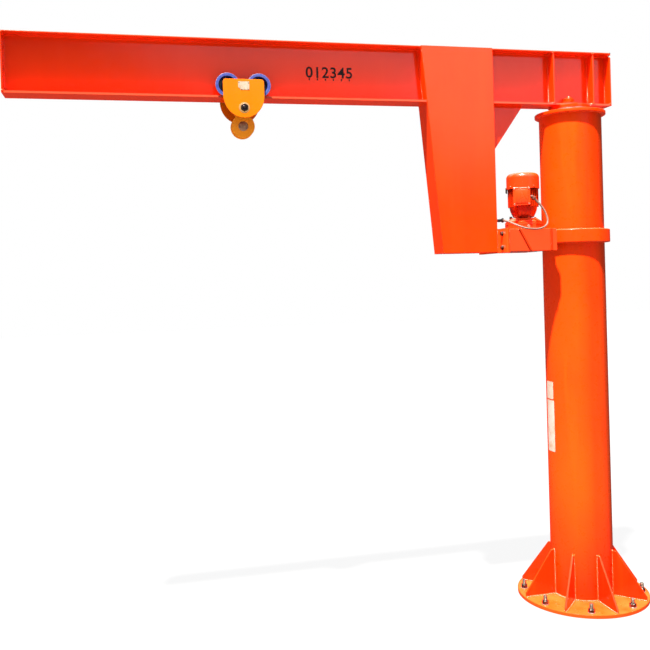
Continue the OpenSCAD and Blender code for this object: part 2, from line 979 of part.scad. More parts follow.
module tie_bolt() {
  washer_t = 4;
  spacer_l = plate_in_y - cheek_y - 2;
  stub = 8;
  color(steel)
    translate([-trolley_x, 0, tie_z])
      for (side = [-1, 1])
        rotate([side * 90, 0, 0]) {
          cylinder(h = plate_out_y + washer_t + tie_nut_h + stub, d = tie_d, $fn = 48);
          translate([0, 0, plate_out_y])
            cylinder(h = washer_t, d = tie_washer_d, $fn = 48);
          translate([0, 0, plate_out_y + washer_t])
            hexagon(tie_nut_af, tie_nut_h);
          translate([0, 0, plate_in_y - spacer_l])
            cylinder(h = spacer_l, d = tie_d + 16, $fn = 48);
        }
}

/* ---- load lug ---- */

module lug_face() {
  eye_r = 42;
  difference() {
    union() {
      circle(r = eye_r);
      translate([-eye_r, -lug_drop])
        square([2 * eye_r, lug_drop]);
      translate([0, -lug_drop])
        circle(r = lug_r);
    }
    circle(r = tie_d / 2 + run_clear);
    translate([0, -lug_drop])
      circle(d = load_pin_d);
  }
}

module load_lug() {
  color(yellow)
    translate([-trolley_x, 0, tie_z]) {
      slab(-cheek_y, -lug_gap / 2)
        lug_face();
      slab(lug_gap / 2, cheek_y)
        lug_face();
    }
}

module load_pin() {
  color(steel)
    translate([-trolley_x, cheek_y - pin_inset, tie_z - lug_drop])
      rotate([90, 0, 0])
        cylinder(h = 2 * (cheek_y - pin_inset), d = load_pin_d);
}

base_plate();
base_gussets();
anchor_bolts();
column_tube();
head_flange();
bearing_housing();
track_ring();
jib_web();
jib_top_flange();
jib_bottom_flange();
jib_end_plates();
jib_stiffeners();
bearing_seat();
hold_down_studs();
pivot_pin();
leg_front_plate();
leg_back_plate();
leg_outer_wall();
leg_inner_wall();
leg_foot_plate();
corner_gusset();
leg_joint_plate();
bracket_end_plate();
joint_bolts();
bracket_side_plates();
bracket_decks();
bracket_ribs();
drive_wheel();
guide_rollers();
gear_reducer();
motor_frame();
fan_cowl();
terminal_box();
conduit_glands();
motor_conduit();
trolley_plate_front();
trolley_plate_back();
wheel_axles();
tie_bolt();
wheel_front_outer();
wheel_front_inner();
wheel_back_outer();
wheel_back_inner();
load_lug();
load_pin();
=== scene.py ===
# A slewing pillar jib crane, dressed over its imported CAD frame. Lengths are in metres.
import math

import bmesh
import bpy
from mathutils import Matrix, Vector


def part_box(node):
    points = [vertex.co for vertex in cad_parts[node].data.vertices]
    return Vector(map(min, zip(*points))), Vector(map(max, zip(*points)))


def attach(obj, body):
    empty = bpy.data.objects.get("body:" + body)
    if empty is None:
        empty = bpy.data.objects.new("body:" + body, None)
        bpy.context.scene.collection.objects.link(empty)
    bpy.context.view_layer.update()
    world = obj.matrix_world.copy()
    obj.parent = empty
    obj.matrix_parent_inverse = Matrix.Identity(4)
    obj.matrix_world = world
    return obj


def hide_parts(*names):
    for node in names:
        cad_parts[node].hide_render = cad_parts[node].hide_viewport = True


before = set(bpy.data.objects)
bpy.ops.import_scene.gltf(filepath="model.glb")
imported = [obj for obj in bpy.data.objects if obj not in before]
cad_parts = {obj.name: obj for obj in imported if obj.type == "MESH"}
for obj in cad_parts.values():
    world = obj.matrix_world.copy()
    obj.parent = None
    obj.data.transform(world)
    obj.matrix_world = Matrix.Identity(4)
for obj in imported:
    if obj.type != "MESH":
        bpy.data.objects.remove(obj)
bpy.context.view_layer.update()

# ---- camera ----
# It stands in front of the jib, left of the pillar and a little above head height, and looks
# level and slightly to the right. The small shift frames the base.
camera_data = bpy.data.cameras.new("camera")
camera_data.sensor_width = 36
camera_data.lens = 44.97
camera_data.shift_x = 0.0014
camera_data.shift_y = -0.0627
camera = bpy.data.objects.new("camera", camera_data)
bpy.context.scene.collection.objects.link(camera)
bpy.context.scene.camera = camera
yaw, pitch, roll = (math.radians(a) for a in (13.06, -0.37, -1.68))
look = Vector((math.sin(yaw) * math.cos(pitch), math.cos(yaw) * math.cos(pitch), math.sin(pitch)))
level = Vector((math.cos(yaw), -math.sin(yaw), 0))
lift = level.cross(look)
right = level * math.cos(roll) + lift * math.sin(roll)
up = lift * math.cos(roll) - level * math.sin(roll)
turn = Matrix((right, up, -look)).transposed().to_4x4()
camera.matrix_world = Matrix.Translation((-2.69181, -4.62975, 2.02944)) @ turn

# ---- motor conduit ----
# A grey-beige corrugated plastic conduit, 13 mm across, from the elbow on the terminal box round the
# front of the drive bracket to the black elbow on the inner wall of the leg. It is stiff enough
# to stand in one free loop, and both ends are pushed into their glands.


def unselect():
    bpy.ops.object.select_all(action="DESELECT")


def hold(piece):
    """Makes a piece the active and only selected object."""
    unselect()
    piece.select_set(True)
    bpy.context.view_layer.objects.active = piece
    return piece


def new_piece(name, verts, faces, edges=()):
    """A mesh object from its points."""
    mesh = bpy.data.meshes.new(name)
    mesh.from_pydata([tuple(v) for v in verts], list(edges), list(faces))
    mesh.update()
    piece = bpy.data.objects.new(name, mesh)
    bpy.context.scene.collection.objects.link(piece)
    return hold(piece)


def through(points, steps):
    """The same smooth line through the points as in the part's source."""
    line = []
    last = len(points) - 1
    for i in range(last):
        a, b = points[max(i - 1, 0)], points[i]
        c, d = points[i + 1], points[min(i + 2, last)]
        for s in range(steps):
            t = s / steps
            line.append(0.5 * (2 * b + (c - a) * t + (2 * a - 5 * b + 4 * c - d) * t * t
                               + (3 * b - a - 3 * c + d) * t ** 3))
    return line + [points[last]]


def length_of(line):
    return sum((b - a).length for a, b in zip(line, line[1:]))


def evenly(line, gap):
    """Points along the line at an even spacing near gap."""
    total = length_of(line)
    count = max(2, round(total / gap))
    out, run, i = [], 0.0, 0
    for k in range(count + 1):
        mark = total * k / count
        while i < len(line) - 2 and run + (line[i + 1] - line[i]).length < mark:
            run += (line[i + 1] - line[i]).length
            i += 1
        step = (line[i + 1] - line[i]).length
        out.append(line[i].lerp(line[i + 1], min(1.0, (mark - run) / step)))
    return out


def tube(name, line, radii, sides=12):
    """A round tube along the line, with one radius for each point, and capped ends."""
    last = len(line) - 1
    verts, faces = [], []
    side = None
    for i, point in enumerate(line):
        way = (line[min(i + 1, last)] - line[max(i - 1, 0)]).normalized()
        if side is None:
            side = way.orthogonal().normalized()
        side = (side - way * side.dot(way)).normalized()
        other = way.cross(side)
        for k in range(sides):
            a = 2 * math.pi * k / sides
            verts.append(point + (side * math.cos(a) + other * math.sin(a)) * radii[i])
    for i in range(last):
        here, there = i * sides, (i + 1) * sides
        for k in range(sides):
            after = (k + 1) % sides
            faces.append((here + k, here + after, there + after, there + k))
    faces.append(tuple(reversed(range(sides))))
    faces.append(tuple(last * sides + k for k in range(sides)))
    return new_piece(name, verts, faces)


motor_x, bracket_top = -0.3345, 2.293
conduit_corner = Vector((motor_x, -0.2, bracket_top))
conduit_free = [(0.020, 0.059, 0.167), (0.042, 0.050, 0.140), (0.058, 0.040, 0.108),
                (0.066, 0.031, 0.076), (0.067, 0.022, 0.048), (0.056, 0.012, 0.026),
                (0.032, 0.001, 0.010), (0.004, -0.009, 0.001), (-0.026, -0.014, -0.003),
                (-0.058, -0.015, -0.002), (-0.090, -0.012, 0.002), (-0.119, -0.001, 0.012),
                (-0.141, 0.022, 0.026), (-0.156, 0.050, 0.039), (-0.167, 0.080, 0.050)]
gland_mouth = Vector((-0.33268, -0.13500, 2.48197))
gland_lead = Vector((-0.32737, -0.13806, 2.47683))
connector_lead = Vector((-0.50979, -0.08257, 2.35300))
connector_mouth = Vector((-0.51438, -0.07602, 2.35300))
conduit_route = [gland_lead] + [conduit_corner + Vector(p) for p in conduit_free] + [connector_lead]
conduit_line = [gland_mouth] + through(conduit_route, 4) + [connector_mouth]
conduit_radius, rib_height, points_a_rib = 0.0065, 0.0007, 4
conduit_points = evenly(conduit_line, 0.0011)
conduit_radii = [conduit_radius - rib_height * (0.5 + 0.5 * math.cos(2 * math.pi * i / points_a_rib))
                 for i in range(len(conduit_points))]
conduit = tube("conduit_sleeve", conduit_points, conduit_radii)
bpy.ops.object.shade_smooth()
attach(conduit, "jib")
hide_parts("motor_conduit")


def feed(tree, socket, value):
    """Links a socket to another one, or gives it a plain value. A colour may leave out its alpha."""
    if isinstance(value, bpy.types.NodeSocket):
        tree.links.new(value, socket)
    elif socket.type == "RGBA":
        socket.default_value = (*value[:3], 1)
    elif value is not None:
        socket.default_value = value


def node_of(tree, kind, **values):
    """A shader node, with its sockets and its plain properties set by name."""
    node = tree.nodes.new(kind)
    for key, value in values.items():
        if key in node.inputs:
            feed(tree, node.inputs[key], value)
        else:
            setattr(node, key, value)
    return node


def new_group(name, inputs, outputs):
    """An empty shader group with float or colour sockets, and its two end nodes."""
    group = bpy.data.node_groups.new(name, "ShaderNodeTree")
    for in_out, sockets in (("INPUT", inputs), ("OUTPUT", outputs)):
        for label, value in sockets.items():
            kind = "NodeSocketColor" if isinstance(value, tuple) else "NodeSocketFloat"
            socket = group.interface.new_socket(label, in_out=in_out, socket_type=kind)
            socket.default_value = (*value, 1) if isinstance(value, tuple) else value
    return group, group.nodes.new("NodeGroupInput").outputs, group.nodes.new("NodeGroupOutput").inputs


def group_in(tree, group, **values):
    """Places a group in a tree, and returns its outputs."""
    return node_of(tree, "ShaderNodeGroup", node_tree=group, **values).outputs


def mixed(tree, factor, a, b, kind="MIX"):
    """A mix of two colours by a factor; each of the three is a socket or a plain value."""
    node = node_of(tree, "ShaderNodeMix", data_type="RGBA", blend_type=kind)
    for index, value in ((0, factor), (6, a), (7, b)):
        feed(tree, node.inputs[index], value)
    return node.outputs[2]


def maths(tree, operation, *values):
    node = node_of(tree, "ShaderNodeMath", operation=operation)
    for socket, value in zip(node.inputs, values):
        feed(tree, socket, value)
    return node.outputs[0]


def spread(tree, value, low, high, to_low=0.0, to_high=1.0):
    """Takes the stretch from low to high to another one, and holds what lies outside at its ends."""
    ends = {"Value": value, "From Min": low, "From Max": high, "To Min": to_low, "To Max": to_high}
    return node_of(tree, "ShaderNodeMapRange", clamp=True, **ends).outputs["Result"]


def object_place(tree):
    return node_of(tree, "ShaderNodeTexCoord").outputs["Object"]


def object_parts(tree):
    """The X, Y and Z of the object coordinates."""
    return node_of(tree, "ShaderNodeSeparateXYZ", Vector=object_place(tree)).outputs


def object_noise(tree, scale, stretch=(1, 1, 1), detail=3.0, roughness=0.5):
    """Noise on object coordinates, stretched along the axes."""
    place = node_of(tree, "ShaderNodeMapping", Vector=object_place(tree), Scale=stretch).outputs[0]
    return node_of(tree, "ShaderNodeTexNoise", Vector=place, Scale=scale, Detail=detail,
                   Roughness=roughness).outputs["Fac"]


def new_material(name):
    material = bpy.data.materials.new(name)
    material.use_nodes = True
    return material, material.node_tree, material.node_tree.nodes["Principled BSDF"]


def surfaced(material, colour, roughness, height=None, strength=0.3, distance=0.0008):
    """Gives a material's shader its colour, its roughness and, from a height, its relief."""
    tree = material.node_tree
    shader = tree.nodes["Principled BSDF"]
    feed(tree, shader.inputs["Base Color"], colour)
    feed(tree, shader.inputs["Roughness"], roughness)
    if height is not None:
        bump = node_of(tree, "ShaderNodeBump", Height=height, Strength=strength, Distance=distance)
        feed(tree, shader.inputs["Normal"], bump.outputs["Normal"])


# grey-beige plastic, a little dirty in the grooves
conduit_plastic, tree, shader = new_material("conduit_plastic")
grime = object_noise(tree, 90, detail=4)
surfaced(conduit_plastic,
         mixed(tree, spread(tree, grime, 0.4, 0.75), (0.120, 0.062, 0.042), (0.060, 0.030, 0.020)),
         spread(tree, grime, 0.3, 0.8, 0.42, 0.62), object_noise(tree, 900), 0.2, 0.0004)
conduit.data.materials.append(conduit_plastic)

# ---- floor and light ----
# A pale floor under one high sun lamp in front of the crane. The surround is dark to well above
# the horizon, with a bright gap in front to the right, which the gloss paint mirrors.
floor_size = 60.0
bpy.ops.mesh.primitive_plane_add(size=floor_size, location=(0, 0, -0.001))
floor = bpy.context.active_object
floor.name = "floor"
floor_finish, tree, shader = new_material("floor_finish")
seen = node_of(tree, "ShaderNodeLightPath").outputs
floor_tone = mixed(tree, seen["Is Glossy Ray"], (0.13, 0.115, 0.10), (0.008, 0.008, 0.008))
surfaced(floor_finish, mixed(tree, seen["Is Camera Ray"], floor_tone, (0.03, 0.03, 0.03)), 0.9)
feed(tree, shader.inputs["Emission Color"],
     mixed(tree, seen["Is Camera Ray"], (0.10, 0.088, 0.075), (0.90, 0.90, 0.90)))
feed(tree, shader.inputs["Emission Strength"], maths(tree, "SUBTRACT", 1.0, seen["Is Glossy Ray"]))
shader.inputs["Specular IOR Level"].default_value = 0.0
floor.data.materials.append(floor_finish)

sun_data = bpy.data.lights.new("key", "SUN")
sun_data.energy = 24.0
sun_data.angle = math.radians(2.5)
sun_data.color = (1.0, 0.97, 0.92)
sun = bpy.data.objects.new("key", sun_data)
bpy.context.scene.collection.objects.link(sun)
sun_from = Vector((-0.23, -0.295, 0.93)).normalized()
sun.rotation_euler = sun_from.to_track_quat("Z", "Y").to_euler()

world = bpy.data.worlds.new("surround")
bpy.context.scene.world = world
world.use_nodes = True
tree = world.node_tree
sky_way = node_of(tree, "ShaderNodeTexCoord").outputs["Generated"]
sky = node_of(tree, "ShaderNodeSeparateXYZ", Vector=sky_way).outputs
sky_bearing = maths(tree, "ARCTAN2", sky["X"], maths(tree, "MULTIPLY", sky["Y"], -1.0))
skyline = node_of(tree, "ShaderNodeValToRGB", Fac=spread(tree, sky_bearing, -math.pi, math.pi))
# height of the dark skyline at a bearing in degrees, where zero is straight in front
skyline_marks = ((-12, 0.50), (-2, 0.33), (2, 0.262), (5, 0.248), (13, 0.232), (18.5, 0.21),
                 (21, 0.12), (26, 0.12), (38, 0.16), (52, 0.50))
marks = skyline.color_ramp.elements
for bearing, height in skyline_marks:
    mark = marks.new(0.5 + bearing / 360)
    mark.color = (height, height, height, 1)
for mark in (marks[0], marks[-1]):
    mark.color = (0.5, 0.5, 0.5, 1)
over_line = maths(tree, "SUBTRACT", sky["Z"], skyline.outputs["Color"])
sky_glow = mixed(tree, spread(tree, sky["Z"], 0.1, 1.0), (1.00, 1.03, 1.08), (2.9, 3.0, 3.15))
lit = mixed(tree, spread(tree, over_line, -0.03, 0.045), (0.10, 0.075, 0.06), sky_glow)
# the right side of the sky fills less than the left
seen = node_of(tree, "ShaderNodeLightPath").outputs
dimmed = maths(tree, "MULTIPLY", seen["Is Diffuse Ray"], spread(tree, sky["X"], -0.1, 0.9, 0.20, 0.85))
lit = mixed(tree, dimmed, lit, (0, 0, 0))
feed(tree, tree.nodes["Background"].inputs["Color"], mixed(tree, seen["Is Camera Ray"], lit, (1, 1, 1)))
bpy.context.scene.view_settings.view_transform = "Standard"

# ---- painted steel plates ----
# The jib, leg, bracket and column are mill plate and section, cut, ground and welded, then
# sprayed with a thick gloss orange-red. Every plate edge is slightly rounded, so it takes a
# thin highlight.


def applied(piece, kind, **settings):
    """Adds a modifier with its settings to the active piece, and applies it."""
    modifier = piece.modifiers.new(kind.lower(), kind)
    for key, value in settings.items():
        setattr(modifier, key, value)
    bpy.ops.object.modifier_apply(modifier=modifier.name)


def eased(name, node, width, segments=2):
    """A copy of a CAD node with its edges rounded over, which stands for it."""
    piece = bpy.data.objects.new(name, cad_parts[node].data.copy())
    piece.data.materials.clear()
    bpy.context.scene.collection.objects.link(piece)
    hold(piece)
    work = bmesh.new()
    work.from_mesh(piece.data)
    bmesh.ops.remove_doubles(work, verts=work.verts, dist=1e-5)
    bmesh.ops.dissolve_limit(work, angle_limit=math.radians(0.5), verts=work.verts, edges=work.edges)
    work.to_mesh(piece.data)
    work.free()
    corner = math.radians(35)
    applied(piece, "BEVEL", width=width, segments=segments, limit_method="ANGLE", angle_limit=corner)
    bpy.ops.object.shade_smooth_by_angle(angle=corner)
    applied(piece, "WEIGHTED_NORMAL", keep_sharp=True)
    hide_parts(node)
    return piece


def finish(piece, body, material):
    """Gives a piece its material and the body it rides on."""
    piece.data.materials.clear()
    piece.data.materials.append(material)
    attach(piece, body)
    return piece


# fine dust that settles on faces that look up, as a mask
dust_tree, dust_in, dust_out = new_group("settled_dust", {"Amount": 0.4, "Grain": 30.0}, {"Mask": 0.0})
facing = node_of(dust_tree, "ShaderNodeNewGeometry").outputs["Normal"]
facing_up = node_of(dust_tree, "ShaderNodeSeparateXYZ", Vector=facing).outputs["Z"]
dust_noise = node_of(dust_tree, "ShaderNodeTexNoise", Vector=object_place(dust_tree),
                     Scale=dust_in["Grain"], Detail=5).outputs["Fac"]
dust_mask = maths(dust_tree, "MULTIPLY", spread(dust_tree, facing_up, 0.5, 0.98),
                  spread(dust_tree, dust_noise, 0.35, 0.7, 0.25, 1.0))
feed(dust_tree, dust_out["Mask"], maths(dust_tree, "MULTIPLY", dust_mask, dust_in["Amount"]))

# thick sprayed gloss: blotches of shade and fade, runs down the sides, orange peel, and a slow
# waviness that bends its reflections
coat_tree, coat_in, coat_out = new_group(
    "sprayed_gloss",
    {"Colour": (0.8, 0.033, 0.001), "Shade": (0.76, 0.026, 0.001), "Fade": (0.82, 0.042, 0.002),
     "Streak": 0.35, "Wave": 0.10, "Rough Low": 0.09, "Rough High": 0.20},
    {"Colour": (0.0, 0.0, 0.0), "Roughness": 0.0, "Height": 0.0})
blotch = object_noise(coat_tree, 1.7, detail=4)
runs = object_noise(coat_tree, 7.0, stretch=(1, 1, 0.09), detail=4, roughness=0.6)
coat = mixed(coat_tree, spread(coat_tree, blotch, 0.35, 0.7), coat_in["Colour"], coat_in["Shade"])
coat = mixed(coat_tree, spread(coat_tree, runs, 0.52, 0.72, 0.0, coat_in["Streak"]), coat, coat_in["Fade"])
feed(coat_tree, coat_out["Colour"], coat)
worn = object_noise(coat_tree, 26.0, detail=6, roughness=0.65)
feed(coat_tree, coat_out["Roughness"],
     spread(coat_tree, worn, 0.3, 0.75, coat_in["Rough Low"], coat_in["Rough High"]))
swell = object_noise(coat_tree, 2.6, stretch=(1, 1, 0.5), detail=2)
drape = object_noise(coat_tree, 12.0, stretch=(1, 1, 0.06), detail=2)
swell = maths(coat_tree, "MULTIPLY_ADD", drape, 0.12, swell)
peel = maths(coat_tree, "MULTIPLY", object_noise(coat_tree, 420, detail=2), 0.004)
feed(coat_tree, coat_out["Height"], maths(coat_tree, "MULTIPLY_ADD", swell, coat_in["Wave"], peel))


def gloss_paint(name, colour, shade, fade, streak=0.35, wave=0.10, dust=0.35, rough=(0.09, 0.2), gloss=0.5):
    """A sprayed gloss paint with dust on what looks up."""
    material, tree, shader = new_material(name)
    coat = group_in(tree, coat_tree, Colour=colour, Shade=shade, Fade=fade, Streak=streak, Wave=wave,
                    **{"Rough Low": rough[0], "Rough High": rough[1]})
    dusty = group_in(tree, dust_tree, Amount=dust, Grain=9.0)
    surfaced(material, mixed(tree, dusty["Mask"], coat["Colour"], (0.42, 0.14, 0.032)),
             coat["Roughness"], coat["Height"], 0.5, 0.02)
    shader.inputs["Specular IOR Level"].default_value = gloss
    return material


def paint_of(material):
    """A material's tree, its colour socket, and the paint that feeds it so far."""
    base = material.node_tree.nodes["Principled BSDF"].inputs["Base Color"]
    return material.node_tree, base, base.links[0].from_socket


def ragged(tree, value, scale, reach, stretch=(1, 1, 1), detail=4):
    """Breaks a measure up with noise, by half the reach either way."""
    noise = maths(tree, "MULTIPLY_ADD", object_noise(tree, scale, stretch, detail), reach, -0.5 * reach)
    return maths(tree, "ADD", value, noise)


def length_in(tree, vector):
    return node_of(tree, "ShaderNodeVectorMath", operation="LENGTH", Vector=vector).outputs["Value"]


def distance_from(tree, middle, axes=(1, 1, 1)):
    """Distance from a point, counting only the axes given as one."""
    moved = tuple(-c * a for c, a in zip(middle, axes))
    offset = node_of(tree, "ShaderNodeMapping", Vector=object_place(tree), Location=moved, Scale=axes)
    return length_in(tree, offset.outputs[0])


def chipped(material, spot, reach):
    """Breaks the paint away round a knocked corner, down to white primer and dark steel."""
    tree, base, paint = paint_of(material)
    depth = ragged(tree, distance_from(tree, spot), 70, reach, detail=5)
    bare = spread(tree, depth, reach * 0.45, reach * 0.5)
    primer = mixed(tree, bare, (0.012, 0.010, 0.010), (0.62, 0.60, 0.58))
    feed(tree, base, mixed(tree, spread(tree, depth, reach * 0.95, reach), primer, paint))


def rubbed(material, half_width, highlight_tone):
    """Painted highlight: a paler, chalky salmon in patches on the two long edges of a flange, where they
    catch the light.
    """
    tree, base, paint = paint_of(material)
    off_web = maths(tree, "ABSOLUTE", object_parts(tree)["Y"])
    edge = spread(tree, off_web, half_width - 0.0012, half_width - 0.0006)
    patches = spread(tree, object_noise(tree, 5, detail=5), 0.3, 0.5, 0.6, 1.0)
    feed(tree, base, mixed(tree, maths(tree, "MULTIPLY", edge, patches), paint, highlight_tone))


def splashed(material, from_radius, rim_tone):
    """A deeper, darker red on the rim of a round plate, outward from a radius."""
    tree, base, paint = paint_of(material)
    radius = distance_from(tree, (0, 0, 0), (1, 1, 0))
    rim = spread(tree, radius, from_radius, from_radius + 0.006, 0.0, 0.85)
    feed(tree, base, mixed(tree, rim, paint, rim_tone))


def weathered(material, far_way, radius, foot_z):
    """Painted shade: deepens and dulls the colour on the far side of a tube, away from the light, as painted
    shade and a painted duller reflection, and darkens it down towards its foot.
    """
    tree, base, paint = paint_of(material)
    across = tree.nodes.new("ShaderNodeVectorMath")
    across.operation = "DOT_PRODUCT"
    feed(tree, across.inputs[0], object_place(tree))
    feed(tree, across.inputs[1], far_way)
    side = ragged(tree, across.outputs["Value"], 9, 0.16 * radius, stretch=(1, 1, 0.05))
    painted_shade_ramp = node_of(tree, "ShaderNodeValToRGB", Fac=spread(tree, side, -radius, radius))
    stops = painted_shade_ramp.color_ramp.elements
    for at, tone in ((0.55, (1, 1, 1)), (0.66, (1, 0.86, 0.9)), (0.75, (1, 0.70, 0.6)),
                     (0.84, (0.97, 0.70, 0.7)), (0.90, (0.80, 0.74, 1)), (0.95, (0.60, 0.68, 1))):
        stops.new(at).color = (*tone, 1)
    stops[0].color = (1, 1, 1, 1)
    stops[-1].color = (0.48, 0.66, 1, 1)
    height = ragged(tree, object_parts(tree)["Z"], 12, 0.3, stretch=(1, 1, 0.1))
    low = spread(tree, height, 0.08, foot_z, 1.0, 0.0)
    paint = mixed(tree, 1.0, paint, painted_shade_ramp.outputs["Color"], kind="MULTIPLY")
    feed(tree, base, mixed(tree, low, paint, mixed(tree, 1.0, paint, (0.98, 0.40, 0.4), kind="MULTIPLY")))


red_paint = ((0.80, 0.033, 0.0010), (0.76, 0.026, 0.0008), (0.82, 0.042, 0.0020))
jib_gloss = gloss_paint("jib_gloss", *red_paint)
# the web's own copy of the red paint, paler and pinker: painted light and a painted sky reflection for the
# web in the flanges' shade
web_shaded_gloss = gloss_paint("web_shaded_gloss", (0.74, 0.036, 0.0030), (0.68, 0.030, 0.0025), (0.76, 0.045, 0.0050),
                        wave=0.12)
# a darker copy of the red paint for the top flange: painted shade for its underside
flange_shaded_gloss = gloss_paint("flange_shaded_gloss", (0.70, 0.030, 0.0020), (0.62, 0.024, 0.0015),
                           (0.72, 0.040, 0.0030))
rail_gloss = gloss_paint("rail_gloss", *red_paint)
# painted highlight along the long edges of the bottom flange
rubbed(rail_gloss, 0.070, (0.50, 0.052, 0.020))
end_gloss = gloss_paint("end_gloss", *red_paint)
chipped(end_gloss, (0.254, -0.070, 3.394), 0.026)
# a paler, more orange copy of the red paint for the leg's joint plate: painted light on that face
joint_lit_gloss = gloss_paint("joint_lit_gloss", (0.72, 0.056, 0.0060), (0.66, 0.046, 0.0040), (0.76, 0.070, 0.0090),
                          streak=0.45)
# a copy of the red paint with more green and blue for the bracket's side plates: a painted pinkish
# reflection
bracket_sheen_gloss = gloss_paint("bracket_sheen_gloss", (0.76, 0.041, 0.0090), (0.72, 0.034, 0.0070),
                            (0.78, 0.050, 0.0120))
# a much darker copy of the red paint for the bracket's ribs: painted shadow for the shadow each rib casts
bar_shadow_gloss = gloss_paint("bar_shadow_gloss", (0.42, 0.022, 0.0020), (0.32, 0.016, 0.0015), (0.50, 0.030, 0.0040),
                        streak=0.45)
plate_edge, rolled_edge = 0.0018, 0.0042
jib_plates = (("web_plate", "jib_web", plate_edge, web_shaded_gloss),
              ("top_flange", "jib_top_flange", rolled_edge, flange_shaded_gloss),
              ("bottom_flange", "jib_bottom_flange", rolled_edge, rail_gloss),
              ("end_plates", "jib_end_plates", plate_edge, end_gloss),
              ("stiffeners", "jib_stiffeners", plate_edge, jib_gloss),
              ("seat_plate", "bearing_seat", plate_edge, jib_gloss),
              ("leg_front", "leg_front_plate", plate_edge, jib_gloss),
              ("leg_back", "leg_back_plate", plate_edge, jib_gloss),
              ("leg_outer", "leg_outer_wall", plate_edge, jib_gloss),
              ("leg_inner", "leg_inner_wall", plate_edge, jib_gloss),
              ("leg_foot", "leg_foot_plate", plate_edge, jib_gloss),
              ("corner_plate", "corner_gusset", plate_edge, jib_gloss),
              ("leg_joint", "leg_joint_plate", plate_edge, joint_lit_gloss),
              ("bracket_end", "bracket_end_plate", plate_edge, jib_gloss),
              ("bracket_sides", "bracket_side_plates", plate_edge, bracket_sheen_gloss),
              ("bracket_deck_plates", "bracket_decks", plate_edge, jib_gloss),
              ("bracket_bars", "bracket_ribs", plate_edge, bar_shadow_gloss))
for name, node, width, material in jib_plates:
    finish(eased(name, node, width, 3), "jib", material)

tube_r, sheltered = 0.1885, (0.24, 0.38)
column_gloss = gloss_paint("column_gloss", (0.80, 0.040, 0.0008), (0.76, 0.030, 0.0006),
                           (0.82, 0.052, 0.0016), 0.45, 0.30, rough=sheltered, gloss=0.22)
pillar_gloss = gloss_paint("pillar_gloss", (0.80, 0.045, 0.0006), (0.78, 0.035, 0.0005),
                           (0.82, 0.060, 0.0014), 0.60, 0.30, rough=sheltered, gloss=0.22)
# painted shade and painted reflection on the pillar: a deeper, duller far side, and darker towards the foot
weathered(pillar_gloss, (0.864, -0.503, 0), tube_r, 0.62)
# a copy of the red paint with less green for the base gussets: painted shade on their sides
foot_shaded_gloss = gloss_paint("foot_shaded_gloss", (0.78, 0.018, 0.0010), (0.72, 0.013, 0.0008), (0.82, 0.032, 0.0020),
                         streak=0.45, gloss=0.3)
foot_plate_gloss = gloss_paint("foot_plate_gloss", (0.80, 0.038, 0.0008), (0.76, 0.028, 0.0006),
                               (0.82, 0.050, 0.0016), 0.45, 0.20, dust=0.32, rough=sheltered, gloss=0.22)
# a darker red rim on the base plate
splashed(foot_plate_gloss, 0.388, (0.55, 0.044, 0.0030))
column_plates = (("foot_plate", "base_plate", plate_edge, foot_plate_gloss),
                 ("foot_gussets", "base_gussets", plate_edge, foot_shaded_gloss),
                 ("pillar", "column_tube", plate_edge, pillar_gloss),
                 ("head_plate", "head_flange", 0.003, column_gloss),
                 ("track_band", "track_ring", 0.005, column_gloss))
for name, node, width, material in column_plates:
    finish(eased(name, node, width, 3), "column", material)

# the flange overhang keeps the high sun off the web
web_shade = bpy.data.collections.new("web_shade")
web_shade.objects.link(bpy.data.objects["web_plate"])
sun.light_linking.receiver_collection = web_shade
web_shade.collection_objects[0].light_linking.link_state = "EXCLUDE"

# ---- anchor studs ----
# Eight galvanised studs cast into the footing. Each has a thread cut on it, a flat washer on the
# base plate and one chamfered hexagon nut, all left unpainted and dull from the weather.


def edit(on):
    bpy.ops.object.mode_set(mode="EDIT" if on else "OBJECT")


def pick(kind, rule):
    """Selects only those faces, edges or points of the piece in edit mode that the rule takes."""
    bpy.ops.mesh.select_mode(type=kind)
    bpy.ops.mesh.select_all(action="DESELECT")
    mesh = bpy.context.active_object.data
    work = bmesh.from_edit_mesh(mesh)
    for item in {"FACE": work.faces, "EDGE": work.edges, "VERT": work.verts}[kind]:
        if rule(item):
            item.select_set(True)
    bmesh.update_edit_mesh(mesh)


def pick_all():
    bpy.ops.mesh.select_all(action="SELECT")


def is_level(edge):
    return abs(edge.verts[0].co.z - edge.verts[1].co.z) < 1e-6


def faces_up(face):
    return face.normal.z > 0.9


def raised(way, scale=1.0):
    """Extrudes the selected faces by a step, and scales their far end."""
    bpy.ops.mesh.extrude_region_move(TRANSFORM_OT_translate={"value": tuple(way)})
    if scale != 1.0:
        bpy.ops.transform.resize(value=(scale, scale, 1))


def started(name):
    """Names the piece just added, and puts its own size and place into its points."""
    piece = bpy.context.active_object
    piece.name = name
    bpy.ops.object.transform_apply(location=True, rotation=True, scale=True)
    return piece


def rod(name, sides, radius, depth, middle=0.0):
    """A plain prism or cylinder round Z, with its middle at a height."""
    unselect()
    bpy.ops.mesh.primitive_cylinder_add(vertices=sides, radius=radius, depth=depth,
                                        location=(0, 0, middle))
    return started(name)


def smoothed(angle=30):
    bpy.ops.object.shade_smooth_by_angle(angle=math.radians(angle))


def at(x, y, z):
    return Matrix.Translation((x, y, z))


def turned(degrees, axis="Z"):
    return Matrix.Rotation(math.radians(degrees), 4, axis)


def at_angle(degrees, radius, z=0.0):
    return turned(degrees) @ at(radius, 0, z)


def raised_to(piece, z):
    piece.data.transform(at(0, 0, z))
    return piece


def joined(name, pieces):
    """Joins pieces into the first of them."""
    unselect()
    for piece in pieces:
        piece.select_set(True)
    bpy.context.view_layer.objects.active = pieces[0]
    bpy.ops.object.join()
    pieces[0].name = name
    return pieces[0]


